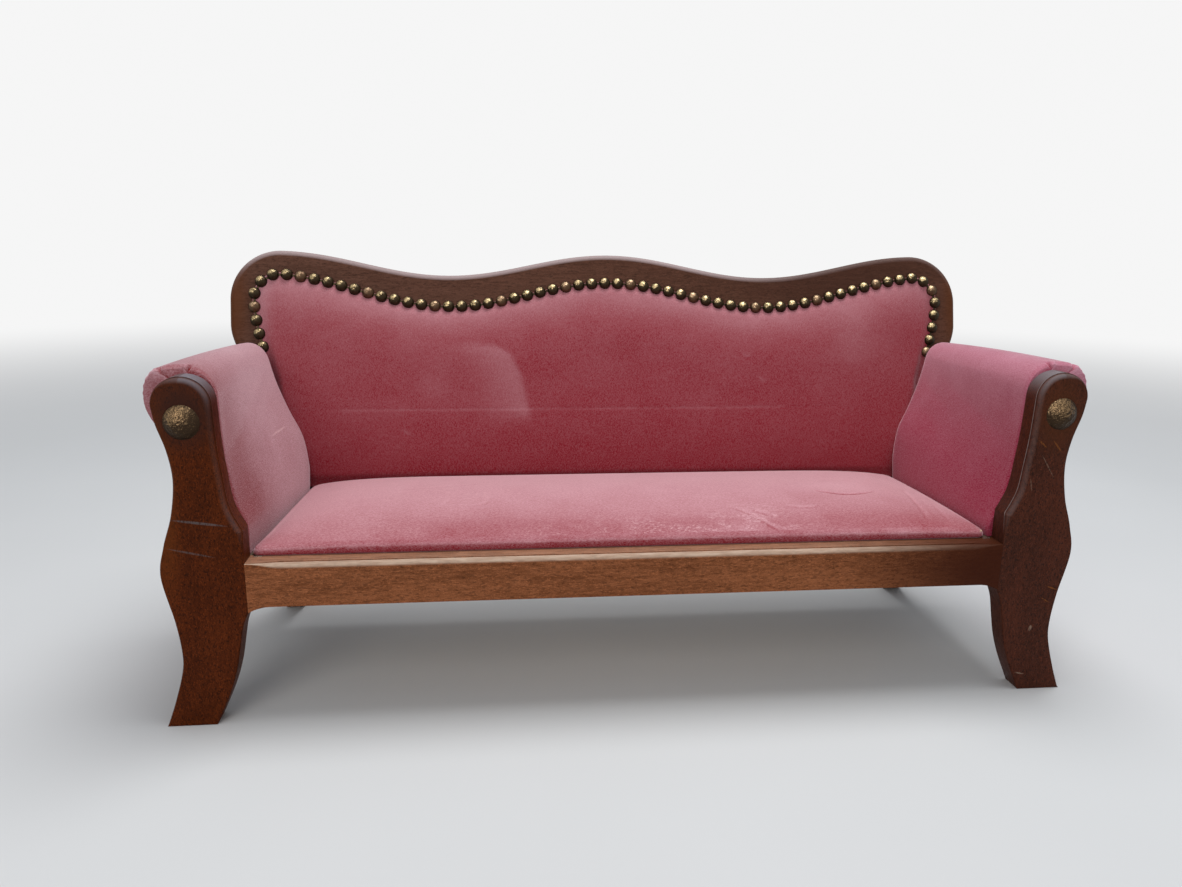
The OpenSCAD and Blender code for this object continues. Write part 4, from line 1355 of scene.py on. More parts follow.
@dataclass
class Seat(Cushion):
    """The padded seat: velvet over a crown of wadding, turned under its plywood panel."""

    name: str = "seat"
    cap: float = 2.2
    crease: float = 50.0
    fill: float = 0.85
    crown: float = 17.0
    overhang: float = 2.5
    off_back: float = 5.0
    off_post: float = 6.0
    swell: float = 14.0
    velvet_t: float = 1.2
    panel_t: float = 4.0
    edge_pad: float = 0.7
    corner_r: float = 6.0
    roll: float = 5.0
    drop: float = 5.2
    roll_from: float = 45.0
    reach: float = 4.8
    coarse: tuple[int, int] = (33, 101)
    fine: tuple[int, int] = (121, 381)
    # Each crease also paints a highlight beside it and a shade in it
    creases: tuple[Crease, ...] = (
        Crease(((163, 78), (175, 73), (187, 71), (202, 73), (216, 79)), 1.3, 1.7, 0.10, 0.60),
        Crease(((166, 92), (180, 106), (202, 108), (215, 98)), 0.3, 4.0, 0.06, 0.05),
        Crease(((81, 50), (90, 44), (102, 31), (111, 21), (118, 15)), 0.9, 1.8, 0.24, 0.34),
        Crease(((97, 46), (107, 40), (116, 34)), 0.6, 1.8, 0.20, 0.18),
        Crease(((128, 50), (141, 47), (156, 48)), 0.5, 1.8, 0.16, 0.16),
        Crease(((106, 27), (114, 22), (120, 18)), 0.5, 1.6, 0.16, 0.14),
        Crease(((247, 92), (244, 60), (241, 30)), 0.6, 2.2, 0.12, 0.18),
        Crease(((262, 66), (259, 44), (258, 26)), 0.3, 2.4, 0.08, 0.10),
        Crease(((-141, 61), (-117, 64), (-112, 90)), 0.3, 1.8, 0.10, 0.12),
        Crease(((-150, 62), (-144, 77)), 0.3, 1.6, 0.10, 0.10),
        Crease(((-193, 100), (-158, 104), (-123, 111)), 0.3, 2.2, 0.08, 0.10))

    @property
    def front(self) -> float:
        """Depth of the seat's front edge."""
        return self.sizes.board_t - self.overhang

    @property
    def back(self) -> float:
        """Depth of the seat's back edge."""
        return self.sizes.seat_depth - self.off_back

    @property
    def half_front(self) -> float:
        """Half the seat's width at the front."""
        return self.sizes.joint_x - self.off_post

    @property
    def half_back(self) -> float:
        """Half the seat's width at the back."""
        return self.sizes.joint_x - self.swell

    @property
    def edge_z(self) -> float:
        """Height of the seat's edge."""
        return self.sizes.seat_h + 0.2 + self.panel_t + 2 * self.velvet_t + self.edge_pad

    def drawn_in(self, points: Array, inset: float) -> Array:
        """Plan points drawn in alike from all sides."""
        middle = np.array([0, (self.front + self.back) / 2])
        return (points - middle) * (1 - inset / np.array([self.half_front, middle[1] - self.front])) + middle

    def plan(self, rows: int, columns: int) -> Array:
        """The grid of the seat's top in plan, drawn in by its edge's roll.

        Args:
            rows: Rows from front to back.
            columns: Columns from left to right.

        Returns:
            An array of rows, columns and plan coordinates.
        """
        r = self.corner_r

        def edge(count: int, *corners: tuple) -> Array:
            """The drawn-in points of an edge between the halves of two round corners."""
            halves = [arc((x - math.copysign(r, x), y), r, r, start, end, 6) for x, y, start, end in corners]
            return resampled(self.drawn_in(np.vstack(halves), self.roll), count)

        front, back = self.front + r, self.back - r
        side = edge(rows, (self.half_front, front, -45, 0), (self.half_back, back, 0, 45))
        low = edge(columns, (-self.half_front, front, 225, 270), (self.half_front, front, -90, -45))
        high = edge(columns, (-self.half_back, back, 135, 90), (self.half_back, back, 90, 45))
        grid = coons(low, high, side * [-1, 1], side)
        fore = np.linspace(1, 0, rows)[:, None] ** 2
        left = np.linspace(1, 0, columns)[None] ** 4
        grid[..., 0] -= self.reach * fore * left
        return grid

    def shell(self, rows: int, columns: int, moved: Array | None = None) -> tuple[Solid, Array]:
        """The seat's closed mesh.

        Args:
            rows: Rows of its top.
            columns: Columns of its top.
            moved: How far a coarser top has swollen.

        Returns:
            The mesh, and how free each of its points is to swell.
        """
        plan = self.plan(rows, columns)
        t = np.clip((plan[..., 1] - self.front) / (self.back - self.front), 0, 1)
        rise = self.crown * np.where(t < 0.5, 1 - np.abs(1 - 2 * t) ** 2.4, 1 - 0.63 * (2 * t - 1) ** 2)
        rise *= 1 - np.minimum(1, np.abs(plan[..., 0]) / mix(self.half_front, self.half_back, t)) ** 8
        top = np.dstack([plan, self.edge_z + rise])
        rim = border_of(plan)
        gap = distance_to(resampled(np.vstack([rim, rim[:1]]), 900), plan)
        inner = ease(gap / 22)
        top[..., 2] += inner * 0.45 * ripple(plan, 11, 90)
        pile = self.pile(plan, gap)
        if moved is not None:
            top += finer(moved, rows, columns)
            for crease in self.creases:
                cut, pale = crease.at(plan)
                top[..., 2] -= cut * ease(gap / 6)
                pile += pale
        solid = Solid()
        numbers = solid.add(top, pile=pile, crush=self.crush(plan))
        solid.grid(numbers)
        self.hem(solid, border_of(numbers), rim, border_of(top)[:, 2])
        free = np.zeros(solid.count)
        free[: inner.size] = (inner * 0.98).ravel()
        return solid, free

    def hem(self, solid: Solid, ring: Array, rim: Array, edge: Array) -> None:
        """Rolls the cover over its edge and turns it under the panel.

        Args:
            solid: The mesh that grows.
            ring: The numbers of its border.
            rim: The border in plan.
            edge: The border's heights.
        """
        outer = self.drawn_in(rim, -self.roll)
        base = self.sizes.seat_h + 0.1
        along = lengths(rim)
        pulls = 0.10 * np.sin(along * 0.24) + 0.08 * np.sin(along * 0.10 + 1)
        start = math.radians(self.roll_from)
        uneven = 0.10 * ripple(rim, 17, 34)
        below = []
        # Painted highlight and shade: paler over the roll, darker down the turned edge and under it
        for k, pile in enumerate((0.46, 0.45, 0.46, 0.52, 0.54, 0.40, 0.28), start=1):
            a = mix(start, math.pi / 2, k / 7)
            out = (math.sin(a) - math.sin(start)) / (1 - math.sin(start))
            z = edge - self.drop * (1 - math.cos(a) / math.cos(start))
            below.append((mix(rim, outer, out), z + pulls * k / 7, pile + uneven))
        low = self.edge_z - self.drop
        for share, bulge, pile in ((0.4, 0.2, 0.16), (0.85, 0.05, 0.04)):
            z = mix(low, base + 0.9, share) + pulls * (1 - share)
            below.append((self.drawn_in(outer, -bulge), z, pile))
        turned, panel_top = base + self.velvet_t, self.sizes.seat_h + 1.4 + self.panel_t
        for inset, z in ((0.9, base), (8.0, base), (8.0, turned), (1.4, turned), (1.4, panel_top)):
            below.append((self.drawn_in(outer, inset), z, 0.05))
        for plan, z, pile in below:
            numbers = solid.add(np.column_stack([plan, np.broadcast_to(z, len(plan))]), pile=pile)
            solid.band(ring, numbers)
            ring = numbers
        solid.cap(ring)

    def pile(self, plan: Array, gap: Array) -> Array:
        """How pale the seat's top looks: the lay of the nap, with a painted highlight along its sides and
        back.

        Args:
            plan: The places, in plan.
            gap: Their distance from the edge.

        Returns:
            Values from 0, deep, to 1, pale.
        """
        t = (plan[..., 1] - self.front) / (self.back - self.front)
        pile = 0.60 + 0.19 * ease(t * 1.6) + 0.05 * ripple(plan, 5, 70)
        pile -= 0.20 * line_at(t, 0.06, 0.12)
        # Painted highlight: a pale line where the cover rolls over its sides and back
        pile += 0.34 * line_at(gap, 0, 1.8) * ease((t - 0.06) / 0.1)
        pile += 0.16 * bump_at(plan, (190, 90), (27, 14)) + 0.18 * bump_at(plan, (84, 20), (26, 8))
        pile += 0.11 * bump_at(plan, (92, 36), (72, 18)) + 0.14 * bump_at(plan, (-222, 26), (42, 16))
        pile -= 0.10 * bump_at(plan, (250, 40), (60, 40)) + 0.05 * bump_at(plan, (150, 50), (40, 30))
        return pile

    def crush(self, plan: Array) -> Array:
        """Where the pile is crushed, along the front and about the creases.

        Args:
            plan: The places, in plan.

        Returns:
            Values from 0 to 1.
        """
        spots = (((42, 24), (92, 15), 0.85), ((82, 19), (22, 9), 1.0), ((106, 38), (42, 20), 0.60),
                 ((-60, 26), (60, 12), 0.30), ((-140, 85), (60, 24), 0.30), ((-185, 34), (50, 16), 0.30),
                 ((255, 60), (30, 40), 0.35))
        return np.clip(sum(share * bump_at(plan, centre, half) for centre, half, share in spots), 0, 1)


@dataclass
class BackCushion(Cushion):
    """Velvet over thin wadding, inside the line of the nails."""

    crest: Crest
    nails: Array
    name: str = "back"
    cap: float = 1.6
    crease: float = 60.0
    fill: float = 0.9
    crown: float = 9.0
    low: float = 4.0
    velvet_t: float = 1.3
    corner_r: float = 12.0
    margin: float = 5.0
    past_nails: float = 1.4
    coarse: tuple[int, int] = (37, 101)
    fine: tuple[int, int] = (145, 401)
    fold_v: float = 73.5
    # Each crease also paints a highlight beside it and a shade in it
    creases: tuple[Crease, ...] = (
        Crease(((125, 128), (129, 122), (135, 121), (139, 126)), 0.2, 1.6, 0.14, 0.08),
        Crease(((143, 101), (149, 96)), 0.2, 1.6, 0.16, 0.0),
        Crease(((-196, 54), (-188, 49)), 0.2, 1.6, 0.16, 0.0),
        Crease(((40, 22), (52, 16)), 0.2, 1.6, 0.10, 0.05))

    @property
    def tuck(self) -> float:
        """Distance of the sides' tuck behind the arms from the middle."""
        return self.sizes.side_in - 4

    @property
    def tuck_v(self) -> float:
        """Height of the sides' tuck, along the back."""
        return self.crest.side_top_v - 14

    def plan(self, rows: int, columns: int) -> Array:
        """The grid of the cushion, across and up the back.

        Args:
            rows: Rows from the seat to the crest.
            columns: Columns from left to right.

        Returns:
            An array of rows, columns and places.
        """
        r = self.corner_r
        strip = self.crest.strip_half()
        inset = strip + inward(strip, closed=False) * self.past_nails
        low = [(0, self.low), (self.tuck - r, self.low)]
        side = [(self.tuck, self.tuck_v * 0.5), (self.tuck, self.tuck_v)]
        round_off = arc((self.tuck - r, self.low + r), r, r, -90, 0, 12)[1:]
        half = resampled(np.vstack([low, round_off, side, inset[::-1]]), 1400)
        lower = np.array([self.tuck - r, self.low + r]) + r * math.sqrt(0.5) * np.array([1, -1])
        radius = self.crest.strip_side - self.crest.hump_x - self.past_nails
        upper = np.array(self.crest.strip_corner) + radius * math.sqrt(0.5)
        first, last = (int(np.argmin(np.linalg.norm(half - point, axis=1))) for point in (lower, upper))
        flip = np.array([-1.0, 1.0])
        low = np.vstack([(half[: first + 1] * flip)[::-1], half[1: first + 1]])
        high = np.vstack([half[last:] * flip, half[last:-1][::-1]])
        right = resampled(half[first: last + 1], rows)
        return coons(resampled(low, columns), resampled(high, columns), right * flip, right)

    def shell(self, rows: int, columns: int, moved: Array | None = None) -> tuple[Solid, Array]:
        """The cushion's closed mesh.

        Args:
            rows: Rows of its face.
            columns: Columns of its face.
            moved: How far a coarser face has swollen.

        Returns:
            The mesh, and how free each of its points is to swell.
        """
        s = self.sizes
        plan = self.plan(rows, columns)
        rim = border_of(plan)
        gap = distance_to(resampled(np.vstack([rim, rim[:1]]), 1400), plan)
        inner = ease(gap / 20)
        x, v = np.abs(plan[..., 0]), plan[..., 1]
        top = self.crest.strip(np.minimum(x, self.crest.hump_x))
        t = np.clip((v - self.low) / (top - self.low), 0, 1)
        puff = self.crown * (1 - np.abs(2 * t - 1) ** 5) * (1 - np.minimum(1, x / self.crest.strip_side) ** 9)
        puff *= ease((gap - self.margin * 0.4) / 9)
        out = self.velvet_t + puff + 0.4 * inner * ripple(plan, 23, 120)
        near = distance_to(self.nails, plan)
        pull = np.where(plan[..., 1] > 60, line_at(near, 7.0, 4.5), 0)
        out -= 0.5 * pull * ease(gap / 6)
        pile = self.pile(plan, gap)
        if moved is not None:
            out -= 0.25 * bump_at(plan, (-40, self.fold_v), (240, 0.9))
            for crease in self.creases:
                cut, pale = crease.at(plan)
                out -= cut
                pile += pale
        solid = Solid()
        local = np.dstack([plan[..., 0], -out, plan[..., 1]])
        face = s.on_back(local)
        if moved is not None:
            face += finer(moved, rows, columns)
        numbers = solid.add(face, pile=pile)
        solid.grid(numbers)
        ring, edge = border_of(numbers), border_of(local)
        for depth, grow in ((0.6, 0.35), (1.0, 0.4)):
            outer = rim + inward(rim) * grow
            points = np.column_stack([outer[:, 0], edge[:, 1] * (1 - depth) - 0.1 * depth, outer[:, 1]])
            below = solid.add(s.on_back(points), pile=0.2)
            solid.band(ring, below)
            ring = below
        solid.cap(ring)
        free = np.zeros(solid.count)
        free[: inner.size] = (inner * 0.98).ravel()
        return solid, free

    def pile(self, plan: Array, gap: Array) -> Array:
        """How pale the back looks: the lay of the nap, with painted light towards the top and painted shade
        at the bottom.

        Args:
            plan: The places, across and up the back.
            gap: Their distance from the edge.

        Returns:
            Values from 0, deep, to 1, pale.
        """
        x, v = plan[..., 0], plan[..., 1]
        top = self.crest.strip(np.minimum(np.abs(x), self.crest.hump_x))
        t = np.clip(v / top, 0, 1)
        # Painted light: paler towards the top, with a pale band below the nails
        pile = 0.11 + 0.14 * t**1.5 + 0.27 * line_at(t, 1, 0.14) + 0.03 * ripple(plan, 31, 110)
        pile += 0.04 * ease((-120 - x) / 80)
        pile += 0.22 * line_at(x, 6 - self.crest.strip_side, 8) * ease((v - 95) / 30)
        # Painted shade: darker at the bottom, by the seat
        pile -= 0.10 * line_at(t, 0, 0.12)
        past = x - np.interp(v, (60, 82, 105, 125, 136), (-75, -79, -84, -94, -110))
        patch = line_at(np.minimum(past, 0), 0, 42) / (1 + np.exp(past / 1.3))
        pile += 0.27 * patch * ease((v - 52) / 26) * ease((140 - v) / 12)
        pile += 0.16 * bump_at(plan, (240, 141), (20, 30)) + 0.07 * bump_at(plan, (-165, 95), (16, 14))
        pile += 0.13 * line_at(v, self.fold_v, 1.1) * ease((x + 262) / 20) * ease((178 - x) / 20)
        return pile + 0.10 * line_at(gap, 0, 1.6)


@dataclass
class Arm:
    """Velvet drawn over a rolled arm, tucked in behind the head of the post."""

    sizes: SofaSizes
    side: Side
    roll_over: float = 6.0
    roll_fall: float = 8.5
    swell: float = 14.0
    roll_out: float = 6.0
    velvet_t: float = 1.2
    gap: float = 0.3
    off_back: float = 7.5
    fold: float = 4.5
    folds: tuple = ((105.0, 2.6, 0.024, 3.0), (56.0, 2.4, 0.022, 2.4))
    hem_steps: int = 10
    flare_steps: int = 14

    @property
    def front_y(self) -> float:
        """Depth of the arm's front, just behind the post."""
        return self.sizes.board_t + self.gap

    @property
    def outer_x(self) -> float:
        """Distance of the arm's outer face from the middle."""
        return self.sizes.side_out + self.gap + self.velvet_t

    def roll_centre(self, t: float) -> tuple[float, float]:
        """Centre of the roll's section at share t of the way back."""
        arm_x, top = self.sizes.arm_x, self.sizes.post_h + self.roll_over
        return mix(arm_x + 3, arm_x + 5.5, t), mix(top - 24, top - self.roll_fall - 22, t * t)

    def surface(self, t: float) -> Array:
        """The arm's section, from its outer hem over the roll to the seat.

        Args:
            t: The share of the way back.

        Returns:
            Rows of x and z, for a right arm.
        """
        s = self.sizes
        cx, cz = self.roll_centre(t)
        left = mix(3 + s.head_r, 19, t)
        right = mix(self.roll_out, 0, t) + s.half_w - cx
        up = mix(24, 22, t)
        outer = arc((cx, cz), right, up, 0, 90, 72, mix(0.72, 1, t))
        inner = arc((cx, cz), left, up, 90, mix(180, 160, t), 72)[1:]
        flare_z = s.in_arm(0.5)
        k = np.arange(self.flare_steps) / self.flare_steps
        flare = np.stack([mix(self.outer_x, outer[0, 0], ease(k)), mix(flare_z, cz, k)], 1)
        hem_z = np.linspace(s.leg_h + 1, flare_z, self.hem_steps + 1)[:-1]
        hem = np.stack([np.full(self.hem_steps, self.outer_x), hem_z], 1)
        joint, z = s.joint_x, s.seat_h + 0.5
        fold = self.fold if self.side is Side.RIGHT else 0.0
        fore = np.array([(s.arm_x - s.head_r - 0.6, s.in_arm(0.66)), (s.arm_x - s.head_r - 2, s.in_arm(0.5)),
                         (joint + 7, s.in_arm(0.29)), (joint + 1, s.seat_h + s.block_rise - 2),
                         (joint + 1 - fold, s.seat_h + 9), (joint + 1 - fold, z)])
        aft = np.array([(s.arm_x - 19, s.in_arm(0.73)), (s.arm_x - 30, s.in_arm(0.55)),
                        (joint - 8, s.in_arm(0.38)), (joint - self.swell + 0.8, s.in_arm(0.2)),
                        (joint - self.swell + 0.3, s.in_arm(0.1)), (joint - self.swell + 0.5, z)])
        side = smooth_curve([inner[-1], *mix(fore, aft, t)], 9)[1:]
        return np.vstack([hem, flare, outer, inner, side])

    def core(self, t: float, low_in: float, low_out: float) -> Array:
        """The section's way back round the side board.

        Args:
            t: The share of the way back.
            low_in: Height of its end at the seat.
            low_out: Height of its end at the hem.

        Returns:
            Rows of x and z, for a right arm.
        """
        s = self.sizes
        top = mix(s.post_h - s.head_r + 1, s.post_h - s.head_r - 7, t) + self.gap
        left, right = s.side_in - self.gap, s.side_out + self.gap
        return np.array([(left, low_in), (left, top), (right, top), (right, low_out)])

    def stations(self) -> Array:
        """Shares of the way back at which the sections stand."""
        lead = 0.06 * (np.linspace(0, 1, 15)) ** 1.5
        return np.concatenate([lead, np.linspace(0.06, 0.97, 32)[1:], [0.982, 0.992, 1.0]])

    def placed(self, section: Array, t: float) -> Array:
        """A section's points in the sofa's own place, at share t of the way back."""
        y = mix(self.front_y, self.sizes.back_y(section[:, 1], self.off_back), t)
        return np.column_stack([section[:, 0] * self.side.value, y, section[:, 1]])

    def free(self, run: Array, t: float) -> Array:
        """How free a section's points are to swell, from 0, held, to 1."""
        edge = ease(min(t, 1 - t) / 0.12)
        return edge * ease(np.minimum(run - 170, run[-1] - run) / 18) * (np.linspace(0, 1, len(run)) > 0.2)

    def build(self, velvet: Finish) -> None:
        """Builds, swells and dresses the arm.

        Args:
            velvet: The cover's finish.
        """
        rows, pile_and_shading_rows, frees, cores = [], [], [], []
        for t in self.stations().tolist():
            surface = self.surface(t)
            run, angle = lengths(surface), self.round_roll(surface, t)
            depth, pale = self.tucks(angle, t)
            front = mix(0.7, 2.8, line_at(angle, 80, 50))
            front = front * (1 - math.sin(math.pi / 2 * min(1.0, t / 0.022)))
            rear = 2.0 * max(0.0, (t - 0.97) / 0.03) ** 2
            outside = np.arange(len(surface)) < self.hem_steps + self.flare_steps
            hold = np.where(outside, np.clip((surface[:, 1] - self.sizes.in_arm(0.3)) / 20, 0, 1), 1)
            inset = (front + depth) * hold + rear
            rows.append(self.placed(surface + inward(surface, closed=False) * inset[:, None], t))
            pile_and_shading_rows.append(self.pile(surface, run, t) + pale)
            frees.append(self.free(run, t))
            cores.append(self.placed(self.core(t, rows[-1][-1, 2], rows[-1][0, 2]), t))
        solid = Solid()
        numbers = solid.add(np.stack(rows), pile=np.stack(pile_and_shading_rows))
        solid.grid(numbers)
        inside = solid.add(np.stack(cores), pile=0.1)
        solid.grid(inside)
        solid.band(numbers[:, -1], inside[:, 0], closed=False)
        solid.band(inside[:, -1], numbers[:, 0], closed=False)
        for end in (0, -1):
            solid.cap(np.concatenate([numbers[end], inside[end]]))
        name = self.side.name.lower()
        piece = solid.piece(f"{name}_arm_cushion", self.sizes, velvet, 60.0)
        free = np.zeros(solid.count)
        free[: numbers.size] = np.stack(frees).ravel() * 0.95
        moved = points_of(piece) + Puff(cap=1.8).swell(piece, free) * MM
        piece.data.attributes["position"].data.foreach_set("vector", moved.ravel().astype(np.float32))
        piece.data.update()
        settle(piece, "velvet", f"{name}_arm_cover", f"{name}_arm_padding")

    def round_roll(self, surface: Array, t: float) -> Array:
        """The angle of a section's points about its roll, in degrees from the outer side."""
        x, z = (surface - self.roll_centre(t)).T
        return np.where(z > -4, np.degrees(np.arctan2(z, x)), -90)

    def tucks(self, angle: Array, t: float) -> tuple[Array, Array]:
        """What the two folds at the roll's front do, beside the head of the post.

        Args:
            angle: The angle of a section's points about its roll.
            t: The share of the way back.

        Returns:
            How deep they cut, below 0 where a fold is raised, and how much paler the cover looks: a painted
            highlight on the raised side and painted shade in the folds.
        """
        gather = line_at(t, 0, 0.05)
        depth = np.where((angle > 2) & (angle < 46), 0.22 * gather * np.sin(np.radians(angle) * 34), 0)
        pale = 0.12 * gather * line_at(angle, 30, 30)
        for where, width, reach, deep in self.folds:
            fold = line_at(t, 0, reach) * line_at(angle, where, width)
            lip_highlight = line_at(t, 0, reach) * line_at(angle, where - 9, width * 1.6)
            depth += deep * (fold - 0.4 * lip_highlight)
            # Painted highlight on the raised side of each fold, and painted shade in it
            pale += 0.22 * lip_highlight - 0.32 * fold
        return depth, pale

    def pile(self, surface: Array, run: Array, t: float) -> Array:
        """How pale one section looks: painted light towards the top, and on the left arm painted shade beside
        the post.

        Args:
            surface: The section's points.
            run: The length along it at each point.
            t: The share of the way back.

        Returns:
            Values from 0, deep, to 1, pale.
        """
        s = self.sizes
        height = np.clip((surface[:, 1] - s.seat_h) / s.arm_h, 0, 1)
        inside = ease((run / run[-1] - 0.46) / 0.3)
        if self.side is Side.LEFT:
            # Painted shade on the inner face beside the post, and painted light paler towards the top
            shaded = 0.48 * line_at(t, 0, 0.25) + 0.20 * line_at(t, 0, 0.09)
            pile = 0.24 + 0.22 * height + 0.24 * ease(t * 1.5)
            pile -= shaded * inside * (1 - 0.7 * height**3)
        else:
            # Painted light: paler towards the top of the roll; also paler on the outer side
            pile = 0.09 + 0.34 * height**2.2 - 0.04 * t + 0.20 * (1 - inside)
        place = np.column_stack([run, np.full(len(run), t * 190)])
        return pile + 0.04 * ripple(place, 41 + self.side.value, 60)


@dataclass
class ArmFacing:
    """The gathered velvet end of an arm, behind the head of its post."""

    arm: Arm
    inset: float = 6.8
    thickness: float = 1.5
    pleats: int = 9
    left_out: int = 14

    def build(self, velvet: Finish) -> None:
        """Builds and dresses the facing.

        Args:
            velvet: Its finish.
        """
        arm = self.arm
        surface = arm.surface(0.0)[self.left_out:]
        face = surface + inward(surface, closed=False) * self.inset
        outline = np.vstack([face, arm.core(0.0, face[-1, 1], face[0, 1])])
        gather = 0.3 * np.sin(np.linspace(0, 2 * np.pi * self.pleats, len(face)))
        rings = []
        for depth, share in ((0.0, 1.0), (0.5, 0.5), (self.thickness, 0.0)):
            pleated = arm.front_y + depth + gather * share * 0.6 + 0.2 * share
            y = np.maximum(np.concatenate([pleated, np.full(4, arm.front_y + depth)]), arm.front_y)
            rings.append(np.column_stack([outline[:, 0] * arm.side.value, y, outline[:, 1]]))
        name = f"{arm.side.name.lower()}_arm_facing"
        settle(Solid().loft(rings).piece(f"{name}_gathered", arm.sizes, velvet, 60.0), "velvet", name)


class PlantTree(Wiring):
    """A geometry node tree with named inputs."""

    def __init__(self, name: str) -> None:
        """Starts with a geometry input and output.

        Args:
            name: The tree's name.
        """
        super().__init__(bpy.data.node_groups.new(name, "GeometryNodeTree"))
        for way in ("INPUT", "OUTPUT"):
            self.tree.interface.new_socket(name="Geometry", in_out=way, socket_type="NodeSocketGeometry")
        self.source = self.node("NodeGroupInput")
        self.result = self.node("NodeGroupOutput")

    def size(self, name: str, kind: str = "Float") -> Socket:
        """Adds a named input and gives its socket."""
        self.tree.interface.new_socket(name=name, in_out="INPUT", socket_type=f"NodeSocket{kind}")
        return self.source.outputs[name]

    def dented(self, geometry: object, level: object) -> bpy.types.Node:
        """Moves points along their normals.

        Args:
            geometry: What is dented.
            level: How far, in shares of the input named Dent.

        Returns:
            The node with the dented geometry.
        """
        depth = self.math("MULTIPLY", level, self.size("Dent"))
        normal = self.node("GeometryNodeInputNormal")
        shift = self.node("ShaderNodeVectorMath", {0: normal, "Scale": depth}, operation="SCALE")
        return self.node("GeometryNodeSetPosition", {"Geometry": geometry, "Offset": shift})

    def ends_with(self, geometry: object) -> None:
        """Stores the points' painted highlight, on the side that faces up and forward, realizes all, gives it
        its material and ends the tree.

        Args:
            geometry: What is made so far.
        """
        facing = self.node("ShaderNodeVectorMath", {
            0: self.node("GeometryNodeInputNormal"), 1: self.size("Rubbed side", "Vector")},
            operation="DOT_PRODUCT")
        share = self.node("ShaderNodeMapRange", {
            "Value": facing.outputs["Value"], "From Min": 0.55, "From Max": 0.98},
            interpolation_type="SMOOTHSTEP")
        stored = self.node("GeometryNodeStoreNamedAttribute", {
            "Geometry": geometry, "Name": "polish", "Value": share}, data_type="FLOAT", domain="POINT")
        real = self.node("GeometryNodeRealizeInstances", {"Geometry": stored})
        painted = self.node("GeometryNodeSetMaterial", {
            "Geometry": real, "Material": self.size("Material", "Material")})
        self.feed(self.result.inputs[0], painted)

    def grown(self, name: str, seed_mesh: bpy.types.Mesh, values: dict[str, object]) -> bpy.types.Mesh:
        """Runs the tree on a mesh.

        Args:
            name: The new mesh's name.
            seed_mesh: The mesh that goes in.
            values: Values for the named inputs.

        Returns:
            The plain mesh.
        """
        holder = linked(f"{name}_source", seed_mesh)
        modifier = holder.modifiers.new("grow", "NODES")
        modifier.node_group = self.tree
        for key, value in values.items():
            modifier[self.tree.interface.items_tree[key].identifier] = value
        graph = bpy.context.evaluated_depsgraph_get()
        mesh = bpy.data.meshes.new_from_object(holder.evaluated_get(graph))
        mesh.name = name
        holder.modifiers.remove(modifier)
        bpy.data.objects.remove(holder)
        return mesh


